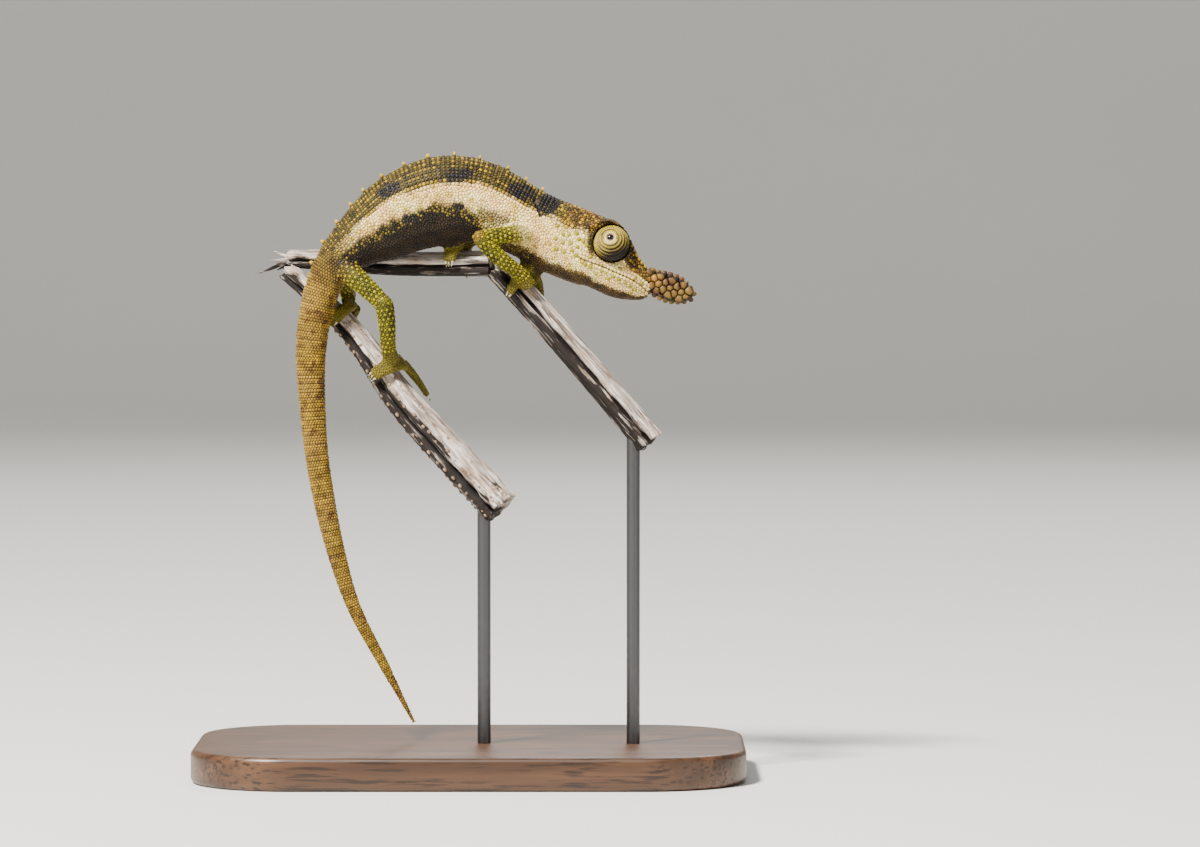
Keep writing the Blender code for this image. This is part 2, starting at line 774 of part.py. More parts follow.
def make_stand(collection):
    """A flat base with rounded corners and two thin rods that carry the arms of the twig."""
    bpy.ops.mesh.primitive_cube_add(size=1, location=(0, 0, BASE_THICKNESS / 2))
    bpy.context.object.scale = (BASE_LENGTH, BASE_WIDTH, BASE_THICKNESS)
    base = last_added("stand_base", collection)
    bm = bmesh.new()
    bm.from_mesh(base.data)
    upright = [e for e in bm.edges if abs(e.verts[0].co.z - e.verts[1].co.z) > BASE_THICKNESS / 2]
    bmesh.ops.bevel(bm, geom=upright, offset=BASE_CORNER, segments=6, affect="EDGES", profile=0.5)
    rim = [e for e in bm.edges if all(v.co.z > 0 for v in e.verts) and abs(e.calc_face_angle(0)) > 1]
    bmesh.ops.bevel(bm, geom=rim, offset=BASE_EDGE, segments=2, affect="EDGES", profile=0.5)
    bm.to_mesh(base.data)
    bm.free()
    paint(base, BASE_COLOUR, roughness=0.4)
    for name, arm, share in (("stand_rod_rear", "perch_thick_arm", 0.86), ("stand_rod_front", "perch_thin_arm", 0.84)):
        twig = twig_of(arm)
        axis = smooth_path([Vector(p) * MM for p in twig.points], 101)[round(share * 100)]
        bottom = BASE_THICKNESS + GAP
        bpy.ops.mesh.primitive_cylinder_add(
            vertices=16,
            radius=ROD_RADIUS,
            depth=axis.z - bottom,
            location=(axis.x, axis.y, (axis.z + bottom) / 2),
        )
        rod = last_added(name, collection)
        combine(rod, [twig_rod(twig, collection, grow=GAP)], "DIFFERENCE")
        paint(rod, ROD_COLOUR, roughness=0.35, metallic=1.0)


# The legs. Each grip is a share of the way along its twig. A bundle's turn runs from the top of the twig
# round its side, along moves it down the twig, and lift holds it off the bark.
LIMBS = (
    Limb(
        "fore_right",
        "upper_arm",
        "forearm",
        ((8.6, -1.0, 64.4), (5.0, -3.6, 64.9), (1.7, -4.6, 64.6)),
        (1.35, 1.0, 0.95),
        ((1.35, -5.0, 64.5), (3.7, -4.3, 62.0), (6.2, -3.2, 60.1), (7.15, -2.5, 58.7)),
        (0.95, 1.0, 0.85, 0.95),
        "perch_thin_arm",
        (0.115, 38.0),
        (
            Bundle("outer", 2, -1, (12, 112), (0.0, 1.3), (0.1, 0.0)),
            Bundle("inner", 3, 1, (12, 60), (0.9, 3.2), (0.1, 0.35)),
        ),
    ),
    Limb(
        "fore_left",
        "upper_arm",
        "forearm",
        ((8.6, 1.0, 64.4), (5.8, 3.6, 65.6), (3.4, 5.0, 66.0)),
        (1.35, 1.0, 0.95),
        ((3.1, 5.4, 66.0), (1.6, 4.9, 65.0), (0.1, 3.6, 64.2), (-0.5, 2.1, 63.75)),
        (0.95, 1.0, 0.85, 0.9),
        "perch_bar",
        (0.86, 90.0),
        (
            Bundle("outer", 2, 1, (15, 115), (0.0, 0.2), (0.1, 0.0)),
            Bundle("inner", 3, -1, (15, 75), (-0.2, -0.6), (0.1, 0.0)),
        ),
    ),
    Limb(
        "hind_right",
        "thigh",
        "shank",
        ((-15.8, -0.6, 61.5), (-13.2, -2.6, 59.4), (-10.6, -3.5, 57.0)),
        (1.5, 1.25, 1.1),
        ((-10.1, -3.8, 56.5), (-9.8, -3.4, 54.0), (-9.75, -2.3, 51.6), (-9.4, -1.2, 50.0)),
        (1.15, 1.05, 0.95, 1.0),
        "perch_thick_arm",
        (0.415, 42.0),
        (
            Bundle("outer", 3, -1, (12, 105), (0.0, -0.2), (0.1, 0.0)),
            Bundle("inner", 2, 1, (4, 34), (0.3, 4.4), (0.1, 0.9)),
        ),
    ),
    Limb(
        "hind_left",
        "thigh",
        "shank",
        ((-15.8, 0.6, 61.2), (-15.3, 3.4, 58.9), (-15.0, 7.3, 58.0)),
        (1.3, 1.0, 1.0),
        ((-15.0, 8.1, 57.8), (-14.9, 7.0, 57.4), (-14.8, 5.6, 57.1), (-14.8, 4.3, 56.9)),
        (1.0, 0.95, 0.85, 0.9),
        "perch_thick_arm",
        (0.205, 42.0),
        (
            Bundle("outer", 3, 1, (15, 110), (0.0, 0.4), (0.1, 0.0)),
            Bundle("inner", 2, -1, (15, 100), (0.2, 0.6), (0.1, 0.0)),
        ),
    ),
)
TOE_RADII = (0.56, 0.54, 0.46, 0.38)
TOE_PITCH = 0.64
TOE_GATHER = 0.35
CLAW_LENGTH = 0.8


def grip_frame(limb):
    """The twig's axis, its upward direction under the palm and the way across, at the foot."""
    twig = twig_of(limb.twig)
    path = smooth_path([Vector(p) * MM for p in twig.points], 201)
    k = round(limb.grip[0] * 200)
    radius = smooth_path(list(twig.radii), 201)[k] * MM * (1 + RIB_HEIGHT)
    along = (path[k + 1] - path[k - 1]).normalized()
    top = Vector((math.cos(math.radians(limb.grip[1])), 0.0, math.sin(math.radians(limb.grip[1]))))
    top = (top - along * top.dot(along)).normalized()
    across = Vector((0, 1, 0))
    across = (across - along * across.dot(along) - top * across.dot(top)).normalized()
    return path[k], along, top, across, radius


def toe_path(limb, bundle, offset):
    """Points of one toe's axis, on an arc just clear of the twig."""
    centre, along, top, across, radius = grip_frame(limb)
    points = []
    for k in range(6):
        t = k / 5
        turn = math.radians(bundle.turn[0] + (bundle.turn[1] - bundle.turn[0]) * t)
        lift = (bundle.lift[0] + (bundle.lift[1] - bundle.lift[0]) * t) * MM
        slide = (bundle.along[0] + (bundle.along[1] - bundle.along[0]) * t) * MM
        gather = offset * (1 - TOE_GATHER * t) * MM
        reach = radius + GAP + TOE_RADII[-1] * MM + (TOE_RADII[0] - TOE_RADII[-1]) * MM * (1 - t) + lift
        out = math.cos(turn) * top + math.sin(turn) * bundle.side * across
        points.append(centre + along * (slide + gather) + out * reach)
    return points


def make_toes(limb, bundle, cutters, collection):
    """Two or three fused toes with a claw on each."""
    pieces = []
    radii = [r * MM for r in TOE_RADII]
    for n in range(bundle.toes):
        offset = (n - (bundle.toes - 1) / 2) * TOE_PITCH
        points = toe_path(limb, bundle, offset)
        pieces.append(tube("toe", points, radii, collection, sides=8, rings=7))
        ahead = (points[-1] - points[-2]).normalized()
        claw_tip = points[-1] + ahead * CLAW_LENGTH * MM
        pieces.append(cone("claw", points[-1] - ahead * 0.35 * MM, claw_tip, 0.24 * MM, collection))
    toes = pieces.pop(0)
    toes.name = f"toes_{bundle.name}_{limb.name}"
    combine(toes, pieces, "UNION")
    combine(toes, cutters, "DIFFERENCE", keep_pieces=True)
    paint(toes, SKIN_COLOURS["toes"])


def make_limb(limb, body_cutter, collection):
    """The lower leg is whole, with a round knee. The upper leg is cut clear of it and of the body."""
    scaled = [Vector(p) * MM for p in limb.lower_points]
    radii = [r * MM for r in limb.lower_radii]
    lower = tube(f"{limb.lower}_{limb.name}", scaled, radii, collection, rings=9, round_end=1.0)
    lower_cutter = tube("lower_cutter", scaled, radii, collection, rings=9, round_end=1.0, grow=GAP)
    paint(lower, SKIN_COLOURS["leg"])
    upper = tube(
        f"{limb.upper}_{limb.name}",
        [Vector(p) * MM for p in limb.upper_points],
        [r * MM for r in limb.upper_radii],
        collection,
        rings=7,
    )
    combine(upper, [body_cutter, lower_cutter], "DIFFERENCE", keep_pieces=True)
    paint(upper, SKIN_COLOURS["leg"])
    for bundle in limb.bundles:
        make_toes(limb, bundle, [lower_cutter, body_cutter], collection)
    bpy.data.objects.remove(lower_cutter)


def main():
    clear_scene()
    model = new_collection("nose_horned_chameleon")
    make_trunk(model)
    for side, word in ((-1, "right"), (1, "left")):
        make_eye(side, word, model)
    body_cutter = trunk_piece("body_cutter", 5.5, 22.95, model, grow=GAP)
    make_nose_horn(body_cutter, model)
    for limb in LIMBS:
        make_limb(limb, body_cutter, model)
    bpy.data.objects.remove(body_cutter)
    make_perch(model)
    make_stand(model)


main()
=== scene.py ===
# %% [markdown]
# # A nose-horned chameleon on its broken twig
# The real animal is about as long as a hand is wide. What makes it read as alive is its surface:
# thousands of small domed scales over one soft skin. So this lesson first makes that skin, then sets
# every scale on it as a piece of mesh, and at the end adds the eyes, the horn, the claws, the weathered
# twig and the stand.

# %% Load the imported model
import math
import random

import bpy
import numpy as np
from mathutils import Matrix, Vector, noise
from mathutils.bvhtree import BVHTree
from mathutils.kdtree import KDTree


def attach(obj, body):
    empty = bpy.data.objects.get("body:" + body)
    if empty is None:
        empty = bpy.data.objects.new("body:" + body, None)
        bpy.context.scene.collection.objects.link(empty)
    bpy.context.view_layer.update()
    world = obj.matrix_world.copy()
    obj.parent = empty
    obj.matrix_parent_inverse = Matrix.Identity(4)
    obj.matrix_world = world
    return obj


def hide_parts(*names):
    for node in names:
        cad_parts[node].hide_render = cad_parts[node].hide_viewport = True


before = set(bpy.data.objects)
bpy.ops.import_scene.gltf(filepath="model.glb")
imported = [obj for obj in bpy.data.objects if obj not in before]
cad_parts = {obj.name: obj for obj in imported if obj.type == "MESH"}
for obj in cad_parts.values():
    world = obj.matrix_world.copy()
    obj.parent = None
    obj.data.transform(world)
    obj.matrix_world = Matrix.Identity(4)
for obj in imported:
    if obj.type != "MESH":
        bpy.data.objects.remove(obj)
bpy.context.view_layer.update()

random.seed(11)
draw = np.random.default_rng(11)

# %% [markdown]
# ## Working a thousand times larger
# Blender's tools have merge distances and smallest voxels that suit a room, not a lizard. So every piece
# is modelled with one Blender unit for one millimetre, and the last step brings it down to metres.

# %% Helpers that every piece uses
MM = 0.001
# A distance in millimetres that stands for out of reach
FAR = 9.0


def pick(*pieces):
    """Selects these pieces and nothing else, the first one active."""
    bpy.ops.object.select_all(action="DESELECT")
    for piece in pieces:
        piece.select_set(True)
    bpy.context.view_layer.objects.active = pieces[0]


def apply_modifiers(piece):
    """Applies what is in the piece's modifier stack, top to bottom."""
    pick(piece)
    for modifier in list(piece.modifiers):
        bpy.ops.object.modifier_apply(modifier=modifier.name)


def triangles(piece):
    return sum(len(face.vertices) - 2 for face in piece.data.polygons)


def settle(piece, name, nodes=(), angle=40):
    """Brings a finished piece from millimetres to metres, shades it smooth by angle, hangs it on the root and
    hides the CAD nodes that it takes the place of.
    """
    piece.name = name
    pick(piece)
    bpy.ops.object.transform_apply(location=True, rotation=True, scale=True)
    bpy.ops.object.shade_smooth_by_angle(angle=math.radians(angle))
    piece.data.transform(Matrix.Scale(MM, 4))
    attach(piece, "root")
    if nodes:
        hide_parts(*nodes)
    print(f"{name}: {triangles(piece)} triangles")
    return piece


def in_scene(name, data):
    """A new object with this data, linked to the scene."""
    piece = bpy.data.objects.new(name, data)
    bpy.context.scene.collection.objects.link(piece)
    return piece


def weld(piece, gap, close=False):
    """Merges corners that are nearer than the gap, closes holes if asked, and turns all faces outwards."""
    pick(piece)
    bpy.ops.object.mode_set(mode="EDIT")
    bpy.ops.mesh.select_all(action="SELECT")
    bpy.ops.mesh.remove_doubles(threshold=gap)
    if close:
        bpy.ops.mesh.select_all(action="SELECT")
        bpy.ops.mesh.fill_holes(sides=0)
        bpy.ops.mesh.select_all(action="SELECT")
    bpy.ops.mesh.normals_make_consistent(inside=False)
    bpy.ops.object.mode_set(mode="OBJECT")


def add_modifier(piece, kind, **settings):
    """Adds one modifier with its settings."""
    modifier = piece.modifiers.new(kind.lower(), kind)
    for name, value in settings.items():
        setattr(modifier, name, value)


def points_of(piece):
    """All corners of a piece as rows of numbers."""
    flat = np.empty(len(piece.data.vertices) * 3, np.float32)
    piece.data.vertices.foreach_get("co", flat)
    return flat.reshape(-1, 3).astype(float)


def move_points(piece, points):
    piece.data.vertices.foreach_set("co", np.asarray(points, np.float32).ravel())
    piece.data.update()


def smoothstep(low, high, value):
    """0 below low, 1 above high, and a soft rise between them."""
    t = np.clip((np.asarray(value, float) - low) / (high - low), 0, 1)
    return t * t * (3 - 2 * t)


def ripple(points, size, seed=0.0):
    """Smooth noise from about -1 to 1 at each point, with bumps of the given size in millimetres."""
    return np.array([noise.noise(Vector(p) / size + Vector((seed, 0, 0))) for p in points])


# %% [markdown]
# ## The line of the body
# Markings and scales both follow the body: bands run along it and rings run round it. So the body gets
# one centre line from the tip of the tail to the snout, with its height and width at each station, and
# every point of the surface can then be asked how far along and how far round it lies.

# %% Stations of the body: x, z, half height and half width, in millimetres
SPINE = np.array((
    (-6.7, 6.1, 0.22, 0.22), (-10.4, 13.2, 0.60, 0.58), (-13.9, 19.9, 0.82, 0.80),
    (-16.1, 26.7, 1.10, 1.05), (-17.6, 33.4, 1.32, 1.25), (-18.6, 40.2, 1.45, 1.38),
    (-19.1, 50.3, 1.80, 1.62), (-18.1, 57.0, 2.08, 1.90), (-16.2, 61.4, 2.35, 2.10),
    (-13.6, 63.9, 3.30, 2.40), (-10.7, 65.8, 4.45, 2.75), (-7.8, 67.5, 5.00, 3.00),
    (-4.3, 68.7, 5.35, 3.15), (-1.1, 69.0, 5.25, 3.20), (1.8, 68.6, 4.85, 3.15),
    (4.7, 67.3, 4.45, 2.95), (7.3, 66.0, 4.25, 2.65), (9.7, 64.8, 4.40, 2.75),
    (12.5, 63.65, 4.45, 2.75), (15.5, 62.35, 4.25, 2.50), (18.0, 60.2, 3.20, 2.10),
    (19.75, 59.1, 2.40, 1.60), (21.05, 58.4, 1.58, 1.10), (21.75, 58.15, 0.65, 0.55),
))
NECK_END = 16.4


def catmull_rom(before, a, b, after, t):
    """A smooth curve from a to b that keeps the run of its neighbours."""
    square = (2 * before - 5 * a + 4 * b - after) * t**2
    return 0.5 * (2 * a + (b - before) * t + square + (3 * a - before - 3 * b + after) * t**3)


def along_table(place):
    """The smooth row between stations at fractional places, by the Catmull-Rom rule."""
    place = np.atleast_1d(np.asarray(place, float))
    last = len(SPINE) - 1
    i = np.clip(np.floor(place).astype(int), 0, last - 1)
    t = (place - i)[:, None]
    return catmull_rom(*(SPINE[np.clip(i + k, 0, last)] for k in (-1, 0, 1, 2)), t)


places = np.linspace(0, len(SPINE) - 1, 1200)
body = along_table(places)
centres = np.stack([body[:, 0], 0 * body[:, 0], body[:, 1]], axis=1)
forwards = np.gradient(centres, axis=0)
forwards /= np.linalg.norm(forwards, axis=1)[:, None]
ups = np.stack([-forwards[:, 2], 0 * forwards[:, 0], forwards[:, 0]], axis=1)
arcs = np.concatenate([[0], np.cumsum(np.linalg.norm(np.diff(centres, axis=0), axis=1))])
print(f"The body is {arcs[-1]:.0f} mm long from the tip of the tail to the snout")


def body_coords(points):
    """For each point, the nearest row of the line, and its turn from 0 on the back to 1 on the belly."""
    rows = np.empty(len(points), int)
    for start in range(0, len(points), 4000):
        part = points[start:start + 4000]
        gaps = part[:, None, ::2] - centres[None, :, ::2]
        rows[start:start + 4000] = (gaps[..., 0]**2 + gaps[..., 1]**2).argmin(axis=1)
    rise = np.einsum("ij,ij->i", points - centres[rows], ups[rows]) / body[rows, 2]
    return rows, np.arctan2(np.abs(points[:, 1]) / body[rows, 3], rise) / math.pi


# %% Lines of the four legs, from the hip or shoulder to the end of the outer toes, in millimetres
LIMB_LINES = {
    "fore_right": ((8.6, -1.0, 64.4), (5.0, -3.6, 64.9), (1.5, -4.8, 64.55), (3.7, -4.3, 62.0),
                   (6.2, -3.2, 60.1), (7.15, -2.5, 58.7), (5.6, -3.0, 56.6)),
    "fore_left": ((8.6, 1.0, 64.4), (5.8, 3.6, 65.6), (3.2, 5.2, 66.0), (1.6, 4.9, 65.0),
                  (0.1, 3.6, 64.2), (-0.5, 2.1, 63.7), (-0.6, 3.2, 61.0)),
    "hind_right": ((-15.8, -0.6, 61.5), (-13.2, -2.6, 59.4), (-10.3, -3.7, 56.8), (-9.8, -3.4, 54.0),
                   (-9.75, -2.3, 51.6), (-9.4, -1.2, 50.0), (-11.2, -1.4, 48.6)),
    "hind_left": ((-15.8, 0.6, 61.2), (-15.3, 3.4, 58.9), (-15.0, 7.8, 57.9), (-14.9, 7.0, 57.4),
                  (-14.8, 5.6, 57.1), (-14.8, 4.3, 56.9), (-16.2, 4.6, 55.2)),
}
LIMBS = list(LIMB_LINES)


def walk(points, step):
    """Points spaced evenly along a line of straight runs, with how far along each lies from 0 to 1."""
    points = np.array(points, float)
    lengths = np.linalg.norm(np.diff(points, axis=0), axis=1)
    marks = np.concatenate([[0], np.cumsum(lengths)])
    spots = np.arange(0, marks[-1], step)
    return np.stack([np.interp(spots, marks, points[:, k]) for k in range(3)], axis=1), spots / marks[-1]


def limb_coords(points, limb):
    """The nearest point of the leg's line, and how far down the leg it is, for each point."""
    line, share = walk(LIMB_LINES[limb], 0.1)
    nearest = np.array([((line - p)**2).sum(axis=1).argmin() for p in points], int)
    return line[nearest], share[nearest]


# %% [markdown]
# ## One skin
# The solids are cut into nodes with thin gaps between them, and a real skin has no seams. A sculptor
# would join the parts, let them swell until they touch, remesh them as one, and shrink the result back.
# The same steps work here: join, fatten, voxel remesh, smooth, displace. Swelling also rounds the creases
# where a leg meets the body.

# %% Join copies of the flesh, swell and remesh them
SWELL = 0.22
VOXEL = 0.176
SCALE_DEPTH = 0.07
FLESH = [n for n in sorted(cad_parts) if not n.startswith(("eye", "nose", "perch", "stand"))]


def copy_of_node(name):
    """A loose copy of a CAD node at a thousand times its size, with its triangles welded."""
    piece = in_scene("copy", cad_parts[name].data.copy())
    piece.data.transform(Matrix.Scale(1 / MM, 4))
    weld(piece, 0.002)
    return piece


copies = [copy_of_node(name) for name in FLESH]
node_tree_points = []
node_tree_faces = []
node_of_face = []
for number, piece in enumerate(copies):
    first = len(node_tree_points)
    node_tree_points.extend(v.co.copy() for v in piece.data.vertices)
    node_tree_faces.extend([first + i for i in face.vertices] for face in piece.data.polygons)
    node_of_face.extend([number] * len(piece.data.polygons))
nodes_tree = BVHTree.FromPolygons(node_tree_points, node_tree_faces)

pick(*copies)
bpy.ops.object.join()
skin = bpy.context.object
before = points_of(skin)
bpy.ops.object.mode_set(mode="EDIT")
bpy.ops.mesh.select_all(action="SELECT")
bpy.ops.transform.shrink_fatten(value=SWELL, use_even_offset=True)
bpy.ops.object.mode_set(mode="OBJECT")
skin.data.materials.clear()
# An even swell shoots far out at a sharp tip, so no corner may move more than this
moved = points_of(skin) - before
far = np.linalg.norm(moved, axis=1)[:, None] + 1e-9
move_points(skin, before + moved * np.minimum(1.0, 1.4 * SWELL / far))


add_modifier(skin, "REMESH", mode="VOXEL", voxel_size=VOXEL)
add_modifier(skin, "SMOOTH", factor=0.5, iterations=8)
add_modifier(skin, "DISPLACE", strength=-(SWELL + SCALE_DEPTH), mid_level=0.0)
add_modifier(skin, "SMOOTH", factor=0.5, iterations=2)
apply_modifiers(skin)
print(f"The skin has {triangles(skin)} triangles")


# %% Keep only the outer surface
def drop_loose_parts(piece):
    """Removes every part but the largest, such as a bubble inside."""
    pick(piece)
    bpy.ops.object.mode_set(mode="EDIT")
    bpy.ops.mesh.separate(type="LOOSE")
    bpy.ops.object.mode_set(mode="OBJECT")
    parts = sorted(bpy.context.selected_objects, key=lambda part: len(part.data.vertices))
    for part in parts[:-1]:
        bpy.data.objects.remove(part)
    pick(parts[-1])
    return parts[-1]


skin = drop_loose_parts(skin)

# %% [markdown]
# ## Folds that are pressed into the skin
# The mouth is a closed line, and behind the head a short fold marks the edge of the neck. Both are
# thinner than the voxels, so they are pressed in by moving the corners near a line, as a thumbnail would
# press soft clay.

# %% Lines seen from the side, as x and z in millimetres, pressed in on both sides of the head
MOUTH_LINE = (
    (21.9, 57.6), (21.2, 58.1), (20.1, 59.05), (19.1, 59.65), (17.3, 60.4), (15.8, 61.05), (13.3, 62.0),
)
NAPE_FOLD = ((7.75, 69.0), (8.05, 68.2), (8.5, 67.1))
# Each fold has a line, a depth and a width
FOLDS = ((MOUTH_LINE, 0.20, 0.12), (NAPE_FOLD, 0.30, 0.17))


def distance_to_line(points, line):
    """How far each point is from a line that is drawn on the side view."""
    spots, _ = walk([(x, 0, z) for x, z in line], 0.04)
    near = np.full(len(points), FAR)
    box = (points[:, 0] > spots[:, 0].min() - 2) & (points[:, 0] < spots[:, 0].max() + 2)
    box &= (points[:, 2] > spots[:, 2].min() - 2) & (points[:, 2] < spots[:, 2].max() + 2)
    for i in np.flatnonzero(box):
        near[i] = math.sqrt(((spots[:, ::2] - points[i, ::2])**2).sum(axis=1).min())
    return near


points = points_of(skin)
# The knobs of the crest are set on later as scales, so here the ridge of the back is pressed smooth
rows, turns = body_coords(points)
rise = np.einsum("ij,ij->i", points - centres[rows], ups[rows])
level = body[rows, 2] * np.sqrt(np.clip(1 - (points[:, 1] / body[rows, 3])**2, 0, 1)) - SCALE_DEPTH
on_crest = (turns < 0.15) & (places[rows] > 7.3) & (places[rows] < 16.3)
points -= (np.maximum(0, rise - level) * on_crest)[:, None] * ups[rows]
normals = np.array([v.normal for v in skin.data.vertices])
for line, depth, width in FOLDS:
    press = depth * np.exp(-(distance_to_line(points, line) / width)**2)
    points -= normals * (press * smoothstep(0.3, 0.9, abs(points[:, 1])))[:, None]
move_points(skin, points)

# %% Which part of the animal each corner of the skin belongs to
PARTS = ("trunk", *LIMBS)


def part_of(point):
    """0 for the trunk, and 1 to 4 for a leg, by the nearest solid."""
    _, _, face, _ = nodes_tree.find_nearest(point)
    name = FLESH[node_of_face[face]]
    return next((k + 1 for k, limb in enumerate(LIMBS) if name.endswith(limb)), 0)


skin_points = points_of(skin)
skin_normals = np.array([v.normal for v in skin.data.vertices])
skin_part = np.array([part_of(Vector(p)) for p in skin_points])
skin_faces = [tuple(f.vertices) for f in skin.data.polygons]
skin_tree = BVHTree.FromPolygons([Vector(p) for p in skin_points], skin_faces)
face_corners = np.array([f[:3] for f in skin_faces])
print({name: int((skin_part == k).sum()) for k, name in enumerate(PARTS)})

# %% [markdown]
# ## The markings
# The animal has an olive-brown back with slate blotches, a cream stripe from the cheek to the hip, a dark
# lower flank that is partly painted shade, ochre tail and yellow-green legs. These are painted as masks,
# soft shapes from 0 to 1, worked out from how far along and round the body a point lies. The skin and the
# scales ask the same function, so they agree.

# %% Where the markings lie
# The band of the back ends at this turn, and the cream stripe at one that changes along the body
BAND_EDGE = 0.36
STRIPE_EDGE = (
    (0, 0.50), (9, 0.50), (11, 0.51), (12.8, 0.52), (13.4, 0.56), (13.9, 0.62),
    (14.4, 0.71), (16, 0.73), (23, 0.74),
)
# Dark blotches on both sides, seen from the side: x, z, half length, half height and tilt in degrees
BLOTCHES = (
    (-1.3, 71.9, 1.9, 0.95, -4), (-9.6, 70.2, 1.75, 0.85, 30), (6.3, 69.9, 1.9, 1.0, -28),
    (9.6, 68.7, 1.35, 1.35, -30), (-1.3, 68.2, 0.8, 0.6, -10), (-7.2, 66.7, 0.85, 0.6, 25),
)
EYE = np.array((16.95, 1.8, 63.8))
WHORL = 1.06
PALE_SPOTS = ((1.2, -5.3, 64.7), (3.2, 6.1, 66.3), (-11.7, -1.9, 49.6))


def smooth_of(table, values):
    places_in, heights = zip(*table)
    return np.interp(values, places_in, heights)


def blotch_mask(points):
    """1 inside the slate blotches, with ragged edges."""
    ragged = 0.35 * ripple(points, 0.9, 5.0) + 0.2 * ripple(points, 0.35, 9.0)
    mask = np.zeros(len(points))
    for x, z, half_long, half_high, tilt in BLOTCHES:
        c, s = math.cos(math.radians(tilt)), math.sin(math.radians(tilt))
        dx, dz = points[:, 0] - x, points[:, 2] - z
        reach = np.hypot((c * dx + s * dz) / half_long, (c * dz - s * dx) / half_high)
        mask = np.maximum(mask, 1 - smoothstep(0.75, 1.15, reach + ragged))
    return mask


def leg_reach(points, part):
    """How far down its leg each point is, from 0 to 1, and 0 on the trunk."""
    reach = np.zeros(len(points))
    for number, limb in enumerate(LIMBS, start=1):
        mine = np.flatnonzero(part == number)
        if len(mine):
            reach[mine] = limb_coords(points[mine], limb)[1]
    return reach


def cloud_mask(points, turn):
    """Above the upper arm the stripe is clouded with brown."""
    ahead, high = points[:, 0] - 2.6, points[:, 2] - 66.9
    cloud = np.hypot(ahead / 3.0, high + 0.2 * ahead) + 0.5 * ripple(points, 0.7, 17.0)
    return 0.75 * (1 - smoothstep(0.5, 1.2, cloud)) * (turn > 0.45)


def dark_mask(points, place, row_arcs, tail, trunk):
    """Blotches, painted shade in the creases of the mouth and the nape, and the dark ring that ends each whorl
    of the tail.
    """
    mouth, nape = (distance_to_line(points, line) for line in (MOUTH_LINE, NAPE_FOLD))
    crease = np.minimum(mouth / 0.10, nape / 0.14)
    whorl = np.clip(np.cos(2 * math.pi * row_arcs / WHORL) * 1.6 - 0.6, 0, 1)
    patchy = 0.4 + 0.6 * (ripple(points, 2.5, 31.0) > -0.1)
    return np.maximum.reduce([
        blotch_mask(points) * trunk * (place > 8),
        # Painted shade along the creases of the mouth and the nape
        0.9 * np.exp(-crease**2) * (abs(points[:, 1]) > 0.3),
        0.42 * whorl * tail * trunk * patchy,
        # Painted shade over the whole nape fold
        1 - smoothstep(0.16, 0.30, nape),
    ])


def snout_mask(points, place, trunk):
    """The top of the snout, and the brow over the eye."""
    snout = (points[:, 0] > 18.6) * smoothstep(0.0, 0.5, points[:, 2] - 61.3 + 0.72 * (points[:, 0] - 18.6))
    ahead, high = points[:, 0] - EYE[0], points[:, 2] - EYE[2]
    brow = (place > 17) * (1 - smoothstep(2.7, 3.2, np.hypot(ahead, high)))
    brow = brow * smoothstep(-1.4, 0.2, high - 0.45 * ahead)
    return trunk * np.maximum(snout, brow)


def paint_masks(points, part, rows, turn, reach):
    """All masks of the markings at each point, by name. A leg's colours fade in below its shoulder or hip."""
    place = places[rows]
    leg = (part > 0) * smoothstep(0.05, 0.26, reach + 0.04 * ripple(points, 0.8, 23.0))
    trunk = 1 - leg
    turn = turn + 0.035 * ripple(points, 1.6, 1.0) + 0.03 * ripple(points, 0.5, 2.0)
    low_edge = smooth_of(STRIPE_EDGE, place)
    back = 1 - smoothstep(BAND_EDGE - 0.025, BAND_EDGE + 0.025, turn)
    low = smoothstep(low_edge - 0.03, low_edge + 0.05, turn)
    tail = 1 - smoothstep(7.0, 8.6, place)
    crown = back * smoothstep(17.0, 17.6, place)
    throat = low * smoothstep(13.6, 15.4, place)
    masks = {
        "cream": (1 - back) * (1 - low) * smoothstep(8.0, 10.0, place) * trunk,
        "back": back * trunk * (1 - tail),
        "tail": tail * trunk,
        "belly": np.maximum(low, cloud_mask(points, turn)) * trunk * (1 - tail),
        # Slate blotches, with painted shade in the creases of the mouth and the nape
        "blotch_and_crease_shade": dark_mask(points, place, arcs[rows], tail, trunk),
        # On the back this mask stands for the crown of the head, and on the belly for the throat
        "crown": trunk * np.maximum(crown, throat),
        "snout": snout_mask(points, place, trunk),
        "leg": leg,
    }
    # The elbows and the right heel are rubbed to a tan
    for spot in PALE_SPOTS:
        gap = np.linalg.norm(points - np.array(spot), axis=1)
        rubbed = 0.85 * (1 - smoothstep(0.5, 1.0, gap)) * (part > 0)
        masks["leg"] = masks["leg"] * (1 - rubbed)
        masks["tail"] = np.maximum(masks["tail"], rubbed)
    return masks


# %% [markdown]
# ## Scales as stamped mesh
# A scale is a low dome with a few dozen faces. One template is modelled for each kind, and a stamp copies
# it to every root with that root's own length, width, height and direction. The list of roots is a book:
# each entry is refused when it would crowd one that is already there.

# %% The book of scale roots
NEAR_CELLS = [(a, b, c) for a in (-1, 0, 1) for b in (-1, 0, 1) for c in (-1, 0, 1)]
CELL = 0.62
book = []
cells = {}


def crowded(point, size, packing=0.86):
    """True when a scale of that size would press into a neighbour."""
    key = cell_of(point)
    for a, b, c in NEAR_CELLS:
        for x, y, z, other in cells.get((key[0] + a, key[1] + b, key[2] + c), ()):
            reach = packing * 0.5 * (size + other)
            if (x - point[0])**2 + (y - point[1])**2 + (z - point[2])**2 < reach * reach:
                return True
    return False


def cell_of(point):
    return tuple(int(math.floor(v / CELL)) for v in point)


def entry_of(point, normal, forward, size, shape, bright=0.0, kind="bead", part=0):
    """One scale. Shape is its length, width and height as shares of its size."""
    return tuple(point), tuple(normal), tuple(forward), size, part, shape, bright, kind


